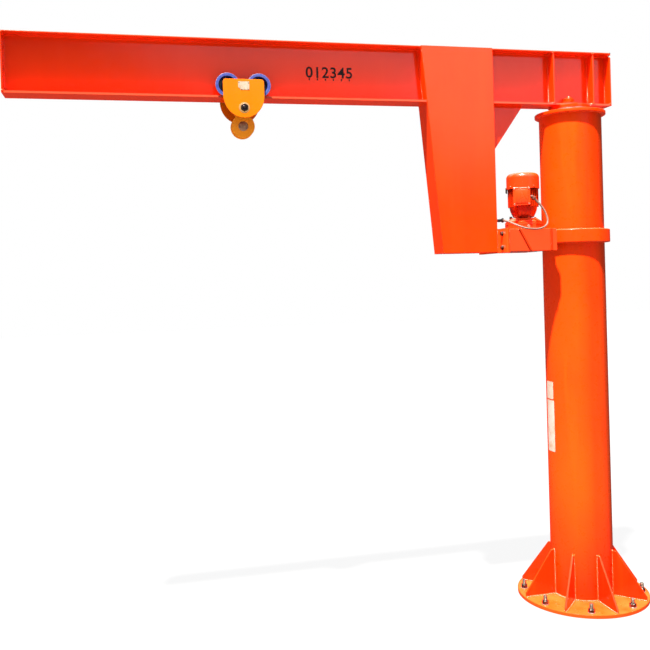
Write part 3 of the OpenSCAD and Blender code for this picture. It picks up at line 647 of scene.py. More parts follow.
def copies(name, patterns, places):
    """Copies the patterns to each place, joins the copies in one piece and drops the patterns."""
    made = []
    for place in places:
        for pattern in patterns:
            copy = bpy.data.objects.new(name, pattern.data.copy())
            copy.data.transform(place)
            bpy.context.scene.collection.objects.link(copy)
            made.append(copy)
    for pattern in patterns:
        bpy.data.objects.remove(pattern)
    return joined(name, made)


def fasteners(name, patterns, places, body, material):
    """Copies of bought hardware at its places, as one piece in its own finish."""
    return finish(copies(name, patterns, places), body, material)


def hexagon_nut(name, across, height, bore=0.0):
    """A hexagon nut, or a bolt head where the bore is zero, that stands on the XY plane."""
    piece = rod(name, 6, across / math.sqrt(3), height * 0.76)
    edit(True)
    pick("EDGE", is_level)
    bpy.ops.mesh.subdivide(number_cuts=3)
    for way in (-1, 1):
        pick("FACE", lambda f: f.normal.z * way > 0.9)
        raised((0, 0, way * height * 0.12))
        bpy.ops.transform.tosphere(value=1.0)
        bpy.ops.transform.resize(value=(0.9, 0.9, 1))
    if bore:
        bpy.ops.mesh.inset(thickness=across * 0.477 - bore / 2)
        raised((0, 0, -height * 0.1), 0.9)
    edit(False)
    raised_to(piece, height / 2)
    smoothed(25)
    return piece


def flat_washer(name, across, thick, bore):
    """A flat washer on the XY plane, with a worn rim and a sunk bore."""
    piece = rod(name, 40, across / 2, thick)
    edit(True)
    pick("FACE", faces_up)
    bpy.ops.mesh.inset(thickness=(across - bore) / 2)
    raised((0, 0, -thick * 0.6))
    edit(False)
    applied(piece, "BEVEL", width=thick * 0.2, segments=2)
    raised_to(piece, thick / 2)
    smoothed()
    return piece


def threaded_stud(name, across, pitch, length, sides=16):
    """A length of screw thread on its core, with a chamfered top, from the XY plane up."""
    crest, root = across / 2, across / 2 - 0.6 * pitch
    thread = new_piece(name, [(root, 0, 0), (crest, 0, pitch * 0.42), (crest, 0, pitch * 0.58),
                              (root, 0, pitch)], (), [(0, 1), (1, 2), (2, 3)])
    applied(thread, "SCREW", screw_offset=pitch, steps=sides, render_steps=sides,
            iterations=int(length / pitch) - 1, use_merge_vertices=True)
    core = rod("core", sides, root * 1.02, length - pitch, (length - pitch) / 2)
    edit(True)
    pick("FACE", faces_up)
    raised((0, 0, pitch), 0.8)
    edit(False)
    joined(name, [thread, core])
    edit(True)
    pick_all()
    bpy.ops.mesh.normals_make_consistent(inside=False)
    edit(False)
    smoothed(40)
    return thread


# bare steel: patches of tarnish, and a brushed grain
bare_tree, bare_in, bare_out = new_group(
    "tarnished_steel",
    {"Colour": (0.17, 0.125, 0.095), "Tarnish": (0.09, 0.06, 0.045), "Rough Low": 0.3, "Rough High": 0.5},
    {"Colour": (0.0, 0.0, 0.0), "Roughness": 0.0, "Height": 0.0})
patches = object_noise(bare_tree, 35, detail=5, roughness=0.6)
feed(bare_tree, bare_out["Colour"],
     mixed(bare_tree, spread(bare_tree, patches, 0.4, 0.65), bare_in["Colour"], bare_in["Tarnish"]))
feed(bare_tree, bare_out["Roughness"],
     spread(bare_tree, patches, 0.3, 0.7, bare_in["Rough Low"], bare_in["Rough High"]))
feed(bare_tree, bare_out["Height"], object_noise(bare_tree, 600, stretch=(1, 1, 0.2)))


def bare_steel(name, colour, tarnish, rough=(0.3, 0.5)):
    material, tree, shader = new_material(name)
    bare = group_in(tree, bare_tree, Colour=colour, Tarnish=tarnish,
                    **{"Rough Low": rough[0], "Rough High": rough[1]})
    surfaced(material, bare["Colour"], bare["Roughness"], bare["Height"], 0.25, 0.0005)
    shader.inputs["Metallic"].default_value = 1.0
    return material


stud_steel = bare_steel("stud_steel", (0.17, 0.125, 0.095), (0.09, 0.06, 0.045), (0.45, 0.6))
nut_steel = bare_steel("nut_steel", (0.11, 0.085, 0.07), (0.05, 0.035, 0.028))
washer_zinc = bare_steel("washer_zinc", (0.80, 0.78, 0.75), (0.50, 0.46, 0.42), (0.25, 0.45))
base_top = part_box("base_plate")[1][2]
stud_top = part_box("anchor_bolts")[1][2]
stud_circle, stud_across, washer_thick = 0.358, 0.024, 0.004
stud_places = [at_angle((i + 0.5) * 45, stud_circle, base_top) for i in range(8)]
anchor_stud = threaded_stud("anchor_stud", stud_across, 0.003, stud_top - base_top)
studs = fasteners("anchor_studs", [anchor_stud], stud_places, "column", stud_steel)
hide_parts("anchor_bolts")
anchor_nut = raised_to(hexagon_nut("anchor_nut", 0.036, 0.021, stud_across), washer_thick)
fasteners("anchor_nuts", [anchor_nut], stud_places, "column", nut_steel)
anchor_washer = flat_washer("anchor_washer", 0.044, washer_thick, 0.025)
fasteners("anchor_washers", [anchor_washer], stud_places, "column", washer_zinc)

# ---- weld beads ----
# Every plate is joined by hand-laid fillet welds: rows of overlapped ripples, a few millimetres
# across, painted over with the steel. One ripple is shaped, then repeated along each seam.
ripple_step = 0.62


def ripple(size):
    """One ripple that lies along X and faces Z, a little higher at its trailing edge."""
    unselect()
    bpy.ops.mesh.primitive_uv_sphere_add(segments=8, ring_count=4, radius=size / 2)
    piece = started("ripple")
    edit(True)
    pick_all()
    bpy.ops.transform.rotate(value=math.radians(90), orient_axis="X", center_override=(0, 0, 0))
    bpy.ops.transform.resize(value=(0.75, 1.0, 0.8))
    bpy.ops.transform.rotate(value=math.radians(24), orient_axis="Y", center_override=(0, 0, 0))
    edit(False)
    return piece


def seam_place(start, along, out):
    """The matrix that turns X to the way along a seam and Z to the way the weld faces."""
    along, out = Vector(along).normalized(), Vector(out)
    out = (out - along * out.dot(along)).normalized()
    return at(*start) @ Matrix((along, out.cross(along), out)).transposed().to_4x4()


def bead(start, end, out, size):
    """A straight weld bead from start to end, that faces out."""
    run = Vector(end) - Vector(start)
    piece = ripple(size)
    count = max(2, round(run.length / (ripple_step * size)))
    applied(piece, "ARRAY", use_relative_offset=False, use_constant_offset=True, count=count,
            constant_offset_displace=(run.length / (count - 1), 0, 0))
    bpy.ops.object.shade_smooth()
    piece.data.transform(seam_place(start, run, out))
    return piece


def ring_bead(radius, z, rise, size=0.010):
    """A weld bead round the column at a height, that faces outward and up or down by rise."""
    piece = ripple(size)
    bpy.ops.object.shade_smooth()
    piece.data.transform(seam_place((radius, 0, z), (0, 1, 0), (1, 0, rise)))
    edit(True)
    pick_all()
    bpy.ops.mesh.spin(steps=round(2 * math.pi * radius / (ripple_step * size)), angle=2 * math.pi,
                      dupli=True, center=(0, 0, z), axis=(0, 0, 1))
    edit(False)
    return piece


def welds(piece, wander, body, material):
    """Makes each ripple a little different, as a hand lays them, and paints them."""
    hold(piece)
    edit(True)
    pick_all()
    bpy.ops.transform.vertex_random(offset=wander, uniform=0.4, normal=0.6, seed=7)
    edit(False)
    finish(piece, body, material)


def beads(seams, size):
    return [bead(*seam, size) for seam in seams]


rail_z, beam_low, roof_z, beam_high = 3.075, 3.064, 3.386, 3.397
tip_x, tail_x = -3.346, 0.246
web_half, lip, flange_half = 0.004, 0.068, 0.070
seams = [((tip_x, side * web_half, z), (tail_x, side * web_half, z), (0, side, face))
         for side in (-1, 1) for z, face in ((rail_z, 1), (roof_z, -1))]
welds(joined("web_welds", beads(seams, 0.009)), 0.0004, "jib", jib_gloss)
seams = []
for side in (-1, 1):
    web_y, lip_y, edge_y = side * web_half, side * lip, side * flange_half
    for x, faces in ((-0.140, (-1, 1)), (0.130, (-1, 1)), (tip_x, (1,)), (tail_x, (-1,))):
        for face in faces:
            edge_x = x + face * 0.005 if len(faces) == 2 else x
            seams += [((edge_x, web_y, rail_z), (edge_x, web_y, roof_z), (face, side, 0)),
                      ((edge_x, web_y, rail_z), (edge_x, lip_y, rail_z), (face, 0, 1)),
                      ((edge_x, web_y, roof_z), (edge_x, lip_y, roof_z), (face, 0, -1))]
    seams.append(((-0.1035, edge_y, beam_low), (0.1035, edge_y, beam_low), (0, side, 1)))
welds(joined("stiffener_welds", beads(seams, 0.015)), 0.0010, "jib", jib_gloss)

leg_low_z, leg_in, leg_out_low, leg_out_high = 2.162, -0.549, -0.898, -1.003


def leg_out(z):
    return leg_out_low + (leg_out_high - leg_out_low) * (z - leg_low_z) / (beam_high - leg_low_z)


seams = []
for side in (-1, 1):
    wall_y = side * flange_half
    seams += [((leg_out_high + 0.001, wall_y, beam_high - 0.004),
               (leg_out_low + 0.001, wall_y, leg_low_z + 0.004), (-1, 0, -0.085)),
              ((leg_in - 0.001, wall_y, 2.306), (leg_in - 0.001, wall_y, beam_high - 0.004), (1, 0, 0)),
              ((leg_out_high, wall_y, beam_high - 0.0015), (leg_in, wall_y, beam_high - 0.0015), (0, 0, 1)),
              ((leg_out_low, wall_y, leg_low_z + 0.001), (leg_in, wall_y, leg_low_z + 0.001), (0, 0, -1))]
leg_edges = beads(seams, 0.007)
seams = [((leg_out(beam_low), -lip, beam_low), (leg_out(beam_low), lip, beam_low), (-1, 0, -1)),
         ((leg_in, -lip, beam_low), (leg_in, lip, beam_low), (1, 0, -1))]
for side in (-1, 1):
    web_y, wall_y, gusset_y, joint_y = side * web_half, side * lip, side * 0.005, side * 0.078
    for low_x, high_x, face in ((leg_out(rail_z), leg_out(roof_z), -1), (leg_in, leg_in, 1)):
        seams += [((low_x, web_y, rail_z), (high_x, web_y, roof_z), (face, side, 0)),
                  ((low_x, web_y, rail_z), (low_x, wall_y, rail_z), (face, 0, 1)),
                  ((high_x, web_y, roof_z), (high_x, wall_y, roof_z), (face, 0, -1))]
    seams += [((leg_in, gusset_y, 2.766), (leg_in, gusset_y, beam_low), (1, side, 0)),
              ((leg_in, gusset_y, beam_low), (-0.333, gusset_y, beam_low), (0, side, -1)),
              ((leg_in, joint_y, leg_low_z), (leg_in, joint_y, 2.298), (-1, side, 0))]
seams.append(((leg_in, -0.076, 2.300), (leg_in, 0.076, 2.300), (1, 0, 1)))
welds(joined("leg_welds", leg_edges + beads(seams, 0.010)), 0.0005, "jib", jib_gloss)

end_x, end_half, side_in, side_tip = -0.529, 0.188, -0.527, -0.224
seams = [((end_x, -end_half, bracket_top), (end_x, end_half, bracket_top), (1, 0, 1)),
         ((end_x, -end_half, leg_low_z), (end_x, end_half, leg_low_z), (1, 0, -1))]
for side in (-1, 1):
    corner_y, deck_y, face_y = side * 0.199, side * 0.190, side * 0.200
    seams += [((end_x, corner_y, leg_low_z + 0.002), (end_x, corner_y, bracket_top - 0.002), (0, side, 0)),
              ((side_in, deck_y, bracket_top - 0.001), (side_tip, deck_y, bracket_top - 0.001), (0, 0, 1)),
              ((side_in, deck_y, leg_low_z + 0.001), (side_tip, deck_y, leg_low_z + 0.001), (0, 0, -1))]
    for x, face in ((-0.265, -1), (-0.253, 1)):
        seams.append(((x, face_y, leg_low_z + 0.003), (x, face_y, bracket_top - 0.003), (face, side, 0)))
    for high_x, low_x, face in ((-0.470, -0.398, -1), (-0.458, -0.386, 1)):
        seams.append(((high_x, face_y, bracket_top - 0.003), (low_x, face_y, leg_low_z + 0.003),
                      (face, side, 0)))
welds(joined("bracket_welds", beads(seams, 0.006)), 0.0003, "jib", jib_gloss)

bead_gloss = gloss_paint("bead_gloss", (0.80, 0.050, 0.0020), (0.76, 0.040, 0.0015), (0.82, 0.070, 0.0060),
                         0.45, 0.05, dust=0.3, rough=(0.2, 0.35))
gusset_half, gusset_r, gusset_top = 0.006, 0.384, 0.296
gusset_beads = []
for side in (-1, 1):
    inner_corner = (tube_r, side * gusset_half, base_top)
    gusset_beads += [bead(inner_corner, (gusset_r, side * gusset_half, base_top), (0, side, 1), 0.017),
                     bead(inner_corner, (tube_r, side * gusset_half, gusset_top), (1, side, 0), 0.013)]
gusset_bead = joined("gusset_bead", gusset_beads)
welds(copies("gusset_welds", [gusset_bead], [at_angle(i * 45, 0) for i in range(8)]), 0.0006,
      "column", bead_gloss)
head_low, track_high, track_low = 3.002, 2.289, 2.209
rings = [ring_bead(tube_r, base_top, 1, 0.020), ring_bead(tube_r, head_low, -1),
         ring_bead(tube_r, track_high, 1), ring_bead(tube_r, track_low, -1)]
welds(joined("column_welds", rings), 0.0005, "column", bead_gloss)

# ---- joint and hold-down bolts ----
# Four M16 bolts hold the drive bracket to the leg, and two heavy studs with plate washers hold the
# jib down on its bearing seat. The studs' nuts were painted with the jib once they were tight; the M16 bolts
# are bare steel.
to_x = turned(90, "Y")
bolt_spots = [(y, z) for y in (-0.146, 0.146) for z in (2.186, 2.269)]
head_parts = [flat_washer("head_washer", 0.030, 0.003, 0.017),
              raised_to(hexagon_nut("bolt_head", 0.024, 0.010), 0.003)]
head_spots = [at(leg_in, y, z) @ turned(-90, "Y") for y, z in bolt_spots]
heads = fasteners("joint_bolt_heads", head_parts, head_spots, "jib", nut_steel)
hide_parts("joint_bolts")
nut_parts = [flat_washer("nut_washer", 0.030, 0.003, 0.017),
             raised_to(hexagon_nut("bolt_nut", 0.024, 0.013, 0.016), 0.003),
             raised_to(threaded_stud("bolt_end", 0.016, 0.002, 0.009), 0.012)]
nut_spots = [at(end_x, y, z) @ to_x for y, z in bolt_spots]
fasteners("joint_bolt_nuts", nut_parts, nut_spots, "jib", nut_steel)


def block(name, size):
    """A box round the origin."""
    unselect()
    bpy.ops.mesh.primitive_cube_add(size=1, scale=size)
    return started(name)


plate_washer = raised_to(block("plate_washer", (0.096, 0.056, 0.008)), 0.004)
applied(plate_washer, "BEVEL", width=0.0015, segments=2)
smoothed()
hold_parts = [plate_washer, raised_to(hexagon_nut("hold_nut", 0.054, 0.027, 0.030), 0.008),
              raised_to(threaded_stud("hold_end", 0.030, 0.0035, 0.017), 0.030)]
hold_spots = [at(-0.027, y, rail_z) for y in (-0.040, 0.040)]
hold_downs = fasteners("hold_down_nuts", hold_parts, hold_spots, "jib", jib_gloss)
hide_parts("hold_down_studs")

# ---- bare labels ----
# Two off-white adhesive sheets on the column, curved with it, with rounded corners, and yellowed
# and scuffed by the weather. They carry nothing.

# faded paper or film: stained in patches, and scuffed to a rough matt
aged_tree, aged_in, aged_out = new_group(
    "aged_sheet", {"Colour": (0.42, 0.33, 0.285), "Stain": (0.34, 0.20, 0.12), "Scale": 14.0},
    {"Colour": (0.0, 0.0, 0.0), "Roughness": 0.0, "Height": 0.0})
stains = object_noise(aged_tree, aged_in["Scale"], detail=6, roughness=0.6)
finer = maths(aged_tree, "MULTIPLY", aged_in["Scale"], 6)
scuffs = object_noise(aged_tree, finer, stretch=(1, 1, 0.3), detail=4)
tone = mixed(aged_tree, spread(aged_tree, stains, 0.45, 0.72), aged_in["Colour"], aged_in["Stain"])
scuffed = spread(aged_tree, scuffs, 0.6, 0.75, 0.0, 0.5)
feed(aged_tree, aged_out["Colour"], mixed(aged_tree, scuffed, tone, (0.17, 0.10, 0.06)))
feed(aged_tree, aged_out["Roughness"], spread(aged_tree, scuffs, 0.3, 0.7, 0.5, 0.75))
feed(aged_tree, aged_out["Height"], scuffs)


def aged_sheet(name, colour, stain, scale):
    material, tree, shader = new_material(name)
    aged = group_in(tree, aged_tree, Colour=colour, Stain=stain, Scale=scale)
    surfaced(material, aged["Colour"], aged["Roughness"], aged["Height"], 0.3, 0.0006)
    return material


sheet_paper = aged_sheet("sheet_paper", (0.42, 0.33, 0.285), (0.34, 0.20, 0.12), 14)
for name, low, high, first, last in (("small_sheet", 1.240, 1.348, 168, 191),
                                     ("long_sheet", 0.912, 1.232, 168, 192.5)):
    sweep = math.radians(last - first)
    strip = new_piece(name, [(tube_r + 0.0003, 0, low), (tube_r + 0.0003, 0, high)], (), [(0, 1)])
    edit(True)
    pick_all()
    bpy.ops.mesh.spin(steps=12, angle=sweep, center=(0, 0, 0), axis=(0, 0, 1))
    pick("VERT", lambda v: abs(math.atan2(v.co.y, v.co.x) % sweep) < 1e-4
         or abs(math.atan2(v.co.y, v.co.x) - sweep) < 1e-4)
    bpy.ops.mesh.bevel(offset=0.008, segments=3, affect="VERTICES")
    pick_all()
    bpy.ops.mesh.normals_make_consistent(inside=False)
    edit(False)
    applied(strip, "SOLIDIFY", thickness=0.0004, offset=1)
    strip.data.transform(turned(last))
    smoothed()
    finish(strip, "column", sheet_paper)

# ---- distance scale ----
# A stencilled scale in black paint on the front of the web: six plain digits and a tick under
# each, laid on as a film a fraction of a millimetre thick.
stencil_black, tree, shader = new_material("stencil_black")
patchy = object_noise(tree, 70, detail=5)
surfaced(stencil_black,
         mixed(tree, spread(tree, patchy, 0.4, 0.75), (0.004, 0.004, 0.004), (0.020, 0.008, 0.006)),
         spread(tree, patchy, 0.3, 0.7, 0.4, 0.6))
shader.inputs["Specular IOR Level"].default_value = 0.2
scale_left, scale_right, tick_z, digit_low, digit_size = -1.695, -1.406, 3.195, 3.206, 0.088
digits, film_y = 6, -0.0043
to_front = turned(90, "X")
marks_made = []
for i in range(digits):
    middle = scale_left + (scale_right - scale_left) * (i + 0.5) / digits
    unselect()
    bpy.ops.object.text_add()
    writing = bpy.context.active_object.data
    writing.body = str(i)
    writing.size = digit_size
    writing.align_x = "CENTER"
    writing.extrude = 0.0002
    writing.offset = 0.0014
    bpy.ops.object.convert(target="MESH")
    digit = bpy.context.active_object
    digit.data.transform(at(middle, film_y, digit_low) @ to_front)
    marks_made.append(digit)
    bpy.ops.mesh.primitive_plane_add(size=1)
    tick = bpy.context.active_object
    edit(True)
    bpy.ops.transform.resize(value=(0.007, 0.012, 1))
    bpy.ops.mesh.bevel(offset=0.0015, segments=2, affect="VERTICES")
    pick_all()
    raised((0, 0, 0.0004))
    edit(False)
    tick.data.transform(at(middle, film_y + 0.0002, tick_z) @ to_front)
    marks_made.append(tick)
scale_marks = joined("scale_marks", marks_made)
bpy.ops.object.shade_flat()
finish(scale_marks, "jib", stencil_black)

# ---- drive castings ----
# The cast reducer case, the finned motor body, the pressed fan cowl and the cast terminal box,
# bolted up as one drive and sprayed a deeper, duller red than the plates.
drive_gloss = gloss_paint("drive_gloss", (0.70, 0.036, 0.0030), (0.56, 0.026, 0.0025), (0.76, 0.050, 0.0060),
                          wave=0.06, rough=(0.2, 0.32))
# a much darker copy of the drive paint for the motor body: painted shade round the motor
motor_shaded_paint = gloss_paint("motor_shaded_paint", (0.36, 0.016, 0.0016), (0.24, 0.010, 0.0012), (0.48, 0.026, 0.0020),
                          wave=0.04)
for name, node, width, material in (("reducer_case", "gear_reducer", 0.003, drive_gloss),
                                    ("motor_body", "motor_frame", 0.0008, motor_shaded_paint),
                                    ("cowl", "fan_cowl", 0.0006, drive_gloss),
                                    ("wiring_box", "terminal_box", 0.0038, drive_gloss)):
    finish(eased(name, node, width), "jib", material)

# ---- motor fittings ----
# Pressed and turned parts on the drive: a raised panel and four pan-head screws on the terminal
# box lid, cowl screws, a lifting plate, the reducer's parting flange, cover bolts and plugs.
box_place = at(motor_x, 0, 2.444) @ turned(-30)
lid_y = -0.146


def pan_screw(name, across, height):
    """A pan-head screw with a cross recess, that stands on the XY plane."""
    flat_z = across * 0.34
    unselect()
    bpy.ops.mesh.primitive_uv_sphere_add(segments=16, ring_count=8, radius=across / 2)
    piece = started(name)
    edit(True)
    pick_all()
    bpy.ops.mesh.bisect(plane_co=(0, 0, 0), plane_no=(0, 0, 1), clear_inner=True, use_fill=True)
    pick_all()
    bpy.ops.mesh.bisect(plane_co=(0, 0, flat_z), plane_no=(0, 0, 1), clear_outer=True, use_fill=True)
    pick("FACE", lambda f: f.normal.z > 0.99)
    bpy.ops.mesh.inset(thickness=across * 0.16)
    raised((0, 0, -across * 0.16), 0.7)
    edit(False)
    piece.data.transform(Matrix.Diagonal((1, 1, height / flat_z, 1)))
    smoothed()
    return piece


def on_motor(degrees, radius, z):
    return at(motor_x, 0, 0) @ at_angle(degrees, radius, z)


lid_panel = block("lid_panel", (0.078, 0.003, 0.084))
edit(True)
pick("FACE", lambda f: f.normal.y < -0.9)
bpy.ops.mesh.inset(thickness=0.004)
raised((0, -0.001, 0))
edit(False)
applied(lid_panel, "BEVEL", width=0.0008, segments=2)
smoothed()
lid_panel.data.transform(box_place @ at(0, lid_y - 0.001, 0.050))
finish(lid_panel, "jib", drive_gloss)
screw_steel = bare_steel("screw_steel", (0.70, 0.60, 0.48), (0.42, 0.30, 0.22))
lid_spots = [box_place @ at(x, lid_y + 0.0003, z) @ to_front
             for x in (-0.0435, 0.0435) for z in (0.0035, 0.0965)]
fasteners("lid_screws", [pan_screw("lid_screw", 0.0105, 0.003)], lid_spots, "jib", screw_steel)
cowl_spots = [on_motor(angle, 0.0993, 2.561) @ to_x for angle in (15, 105, 195, 285)]
fasteners("cowl_screws", [pan_screw("cowl_screw", 0.010, 0.003)], cowl_spots, "jib", drive_gloss)
cover_spots = [on_motor(angle, 0.069, 2.367) for angle in range(30, 390, 60)]
fasteners("reducer_cover_bolts", [hexagon_nut("cover_bolt", 0.013, 0.007)], cover_spots, "jib", drive_gloss)

parting = rod("reducer_parting", 8, 0.1165, 0.007)
edit(True)
pick("EDGE", lambda e: not is_level(e))
bpy.ops.mesh.bevel(offset=0.010, segments=3)
pick("FACE", lambda f: abs(f.normal.z) > 0.9)
bpy.ops.mesh.inset(thickness=0.010)
bpy.ops.mesh.delete(type="FACE")
edit(False)
applied(parting, "BEVEL", width=0.0015, segments=2)
smoothed()
parting.data.transform(at(motor_x, 0, 2.331) @ turned(11))
finish(parting, "jib", drive_gloss)

lifting_plate = block("lifting_plate", (0.010, 0.012, 0.036))
edit(True)
pick("EDGE", lambda e: abs(e.verts[0].co.y - e.verts[1].co.y) > 1e-4 and e.verts[0].co.x > 0)
bpy.ops.mesh.bevel(offset=0.006, segments=4)
pick("FACE", lambda f: abs(f.normal.y) > 0.9)
bpy.ops.mesh.inset(thickness=0.002)
edit(False)
smoothed()
lifting_plate.data.transform(on_motor(153, 0.1005, 2.545))
finish(lifting_plate, "jib", nut_steel)
breather_cap = raised_to(flat_washer("breather_cap", 0.016, 0.009, 0.006), 0.007)
fasteners("breather_plug", [hexagon_nut("breather_base", 0.017, 0.007), breather_cap],
          [on_motor(160, 0.078, 2.366)], "jib", nut_steel)
plug_spots = [on_motor(angle, 0.1055, 2.3145) @ to_x for angle in (258.5, 78.5)]
fasteners("oil_plugs", [hexagon_nut("oil_plug", 0.015, 0.008)], plug_spots, "jib", screw_steel)

# ---- bearing, drive wheel and rollers ----
# Turned steel that runs against steel, so it was never painted: the slewing bearing and its pin,
# the drive wheel on the track ring, the guide rollers and the trolley's wheel axles.


def refinished(node, material):
    """Gives a CAD node, which stays as it is, the finish of its piece."""
    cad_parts[node].data.materials.clear()
    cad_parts[node].data.materials.append(material)


machined = bare_steel("machined_steel", (0.55, 0.54, 0.52), (0.35, 0.32, 0.29), (0.22, 0.4))
for node in ("bearing_housing", "pivot_pin", "drive_wheel", "guide_rollers", "wheel_axles"):
    refinished(node, machined)

# ---- trolley ----
# Two laser-cut amber cheeks, four flanged wheels that hang them from the rail, and a forged load
# lug with its pin. The cheeks and the lug are sprayed; the wheels are dipped in blue enamel.
pin_finish = bare_steel("pin_finish", (0.80, 0.46, 0.27), (0.46, 0.27, 0.18), (0.5, 0.65))
refinished("load_pin", pin_finish)
amber_gloss = gloss_paint("amber_gloss", (0.60, 0.122, 0.0010), (0.54, 0.102, 0.0009), (0.64, 0.142, 0.002),
                          0.3, 0.05, gloss=0.3)
# a much brighter copy of the amber paint for the lug: painted light where the front cheek shades it
lug_lit_amber = gloss_paint("lug_lit_amber", (0.94, 0.330, 0.020), (0.82, 0.250, 0.010), (0.96, 0.360, 0.030),
                        0.3, 0.05)
washer_cream = gloss_paint("washer_cream", (0.30, 0.17, 0.065), (0.26, 0.13, 0.035), (0.34, 0.22, 0.12),
                           0.3, 0.02)

# blue enamel round a wheel's own axle: pale lilac at the rim and the tread, part worn metal and part painted
# highlight, and a darker blue further in, painted shade in the dish
axle_z = 3.1323
wheel_tree, wheel_in, wheel_out = new_group(
    "wheel_wear_and_highlight", {"Axle X": -2.158}, {"Colour": (0.0, 0.0, 0.0), "Roughness": 0.0, "Height": 0.0})
wheel_parts = object_parts(wheel_tree)
off_axle = node_of(wheel_tree, "ShaderNodeCombineXYZ",
                   X=maths(wheel_tree, "SUBTRACT", wheel_parts["X"], wheel_in["Axle X"]),
                   Z=maths(wheel_tree, "SUBTRACT", wheel_parts["Z"], axle_z)).outputs[0]
scuff = object_noise(wheel_tree, 55, detail=6, roughness=0.7)
edge = maths(wheel_tree, "MULTIPLY_ADD", scuff, 0.006, length_in(wheel_tree, off_axle))
worn = spread(wheel_tree, edge, 0.0665, 0.0705)
blue = mixed(wheel_tree, spread(wheel_tree, scuff, 0.35, 0.65), (0.020, 0.034, 0.20), (0.055, 0.070, 0.24))
blue = mixed(wheel_tree, spread(wheel_tree, edge, 0.046, 0.052), (0.008, 0.010, 0.05), blue)
feed(wheel_tree, wheel_out["Colour"], mixed(wheel_tree, worn, blue, (0.13, 0.115, 0.20)))
feed(wheel_tree, wheel_out["Roughness"], spread(wheel_tree, worn, 0, 1, 0.25, 0.5))
feed(wheel_tree, wheel_out["Height"], scuff)
wheel_finishes = {}
for row, axle_x in (("outer", -2.158), ("inner", -1.980)):
    wheel_finishes[row], tree, shader = new_material("wheel_enamel_" + row)
    enamel = group_in(tree, wheel_tree, **{"Axle X": axle_x})
    surfaced(wheel_finishes[row], enamel["Colour"], enamel["Roughness"], enamel["Height"], 0.3, 0.0008)
for name, node in (("front_cheek", "trolley_plate_front"), ("back_cheek", "trolley_plate_back")):
    finish(eased(name, node, 0.0016), "trolley", amber_gloss)
finish(eased("lug_cheeks", "load_lug", 0.0025), "lug", lug_lit_amber)
for name in ("front_outer", "front_inner", "back_outer", "back_inner"):
    finish(eased(name + "_roller", "wheel_" + name, 0.0012), name + "_wheel",
           wheel_finishes[name.split("_")[1]])

# ---- tie bolt ----
# A turned steel rod through both cheeks and the lug. Each end has an amber washer, a chamfered
# dark nut and a stub of thread. Two tube spacers centre the lug between the cheeks.


def tube_spacer(name, across, low, high):
    """A plain tube spacer along Z, with turned chamfers at both ends."""
    piece = rod(name, 40, across / 2, high - low, (low + high) / 2)
    edit(True)
    pick("EDGE", is_level)
    bpy.ops.mesh.bevel(offset=0.0015, segments=2)
    edit(False)
    smoothed()
    return piece


tie_x, tie_z, tie_across, cheek_out = -2.069, 3.001, 0.024, 0.098
tie_places = [at(tie_x, 0, tie_z) @ turned(90 * side, "X") for side in (1, -1)]
spacer_parts = [tube_spacer("tie_spacer", 0.040, 0.034, 0.088),
                tube_spacer("tie_rod", tie_across, -0.0005, cheek_out)]
spacers = fasteners("tie_spacers", spacer_parts, tie_places, "trolley", nut_steel)
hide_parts("tie_bolt")
tie_washer = raised_to(flat_washer("tie_washer", 0.062, 0.004, 0.026), cheek_out)
fasteners("tie_washers", [tie_washer], tie_places, "trolley", washer_cream)
tie_parts = [raised_to(hexagon_nut("tie_nut", 0.040, 0.012, tie_across), cheek_out + 0.004),
             raised_to(threaded_stud("tie_end", tie_across, 0.003, 0.010), cheek_out + 0.010)]
tie_black = bare_steel("tie_black", (0.045, 0.032, 0.030), (0.020, 0.013, 0.012))
fasteners("tie_nuts", tie_parts, tie_places, "trolley", tie_black)

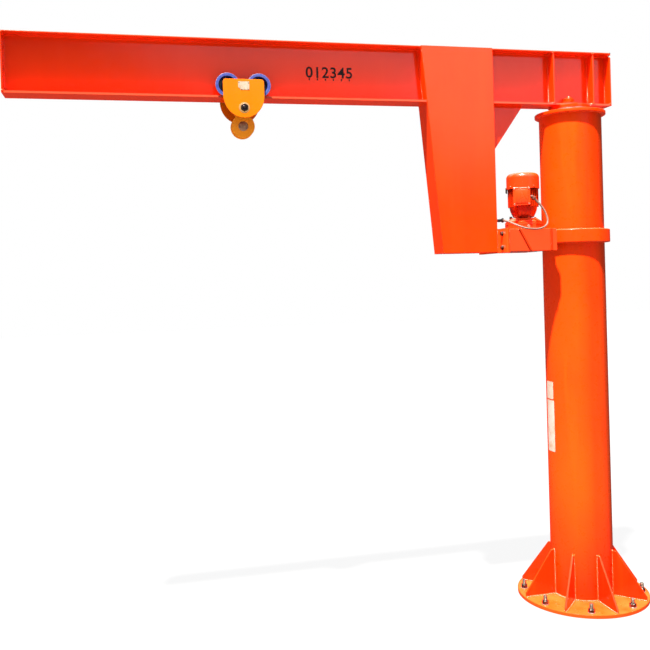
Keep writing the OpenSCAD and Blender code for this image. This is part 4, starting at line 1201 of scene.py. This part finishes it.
# ---- cheek plate ----
# A small bare plate of thin pale sheet metal under the top edge of the front cheek, with one
# corner cut off, held by four drive rivets.
unselect()
bpy.ops.mesh.primitive_plane_add(size=1)
cheek_plate = started("bare_plate")
edit(True)
bpy.ops.transform.resize(value=(0.062, 0.046, 1))
pick("VERT", lambda v: v.co.x < 0 and v.co.y < 0)
bpy.ops.mesh.bevel(offset=0.014, segments=1, affect="VERTICES")
pick("VERT", lambda v: v.co.y > 0 or v.co.x > 0)
bpy.ops.mesh.bevel(offset=0.003, segments=2, affect="VERTICES")
pick_all()
raised((0, 0, 0.0008))
edit(False)
plate_z = 3.126
cheek_plate.data.transform(at(tie_x, -cheek_out - 0.0002, plate_z) @ to_front)
bpy.ops.object.shade_flat()
finish(cheek_plate, "trolley",
       aged_sheet("plate_film", (0.33, 0.27, 0.20), (0.24, 0.14, 0.07), 60))
rivet_spots = [at(tie_x + x, -cheek_out - 0.0010, plate_z + z) @ to_front
               for x, z in ((-0.027, 0.019), (0.027, 0.019), (-0.013, -0.0185), (0.027, -0.019))]
fasteners("plate_rivets", [pan_screw("plate_rivet", 0.006, 0.0018)], rivet_spots, "trolley", screw_steel)

# ---- cable glands ----
# Moulded elbows, a black one on the terminal box and a browned one on the leg, each with a ribbed
# hexagon gland nut that grips the conduit.
gland_black, tree, shader = new_material("gland_black")
shade = object_noise(tree, 60)
black = mixed(tree, shade, (0.003, 0.003, 0.0035), (0.009, 0.009, 0.010))
brown = mixed(tree, shade, (0.070, 0.020, 0.012), (0.110, 0.040, 0.026))
surfaced(gland_black, mixed(tree, spread(tree, object_parts(tree)["X"], -0.46, -0.45), black, brown),
         spread(tree, shade, 0.3, 0.7, 0.35, 0.55))
shader.inputs["Specular IOR Level"].default_value = 0.2
refinished("conduit_glands", gland_black)
gland_ends = []
for mouth, lead in ((gland_mouth, gland_lead), (connector_mouth, connector_lead)):
    way = (lead - mouth).normalized()
    gland_ends.append(at(*(mouth - way * 0.004)) @ way.to_track_quat("Z", "Y").to_matrix().to_4x4())
finish(copies("gland_nuts", [hexagon_nut("gland_nut", 0.024, 0.011, 0.0145)], gland_ends), "jib",
       gland_black)

# pieces too small and too near to what carries them to cast a shadow of their own
no_shadow = bpy.data.collections.new("no_shadow")
for piece in (conduit, bpy.data.objects["tie_nuts"], bpy.data.objects["tie_washers"]):
    no_shadow.objects.link(piece)
sun.light_linking.blocker_collection = no_shadow
for member in no_shadow.collection_objects:
    member.light_linking.link_state = "EXCLUDE"
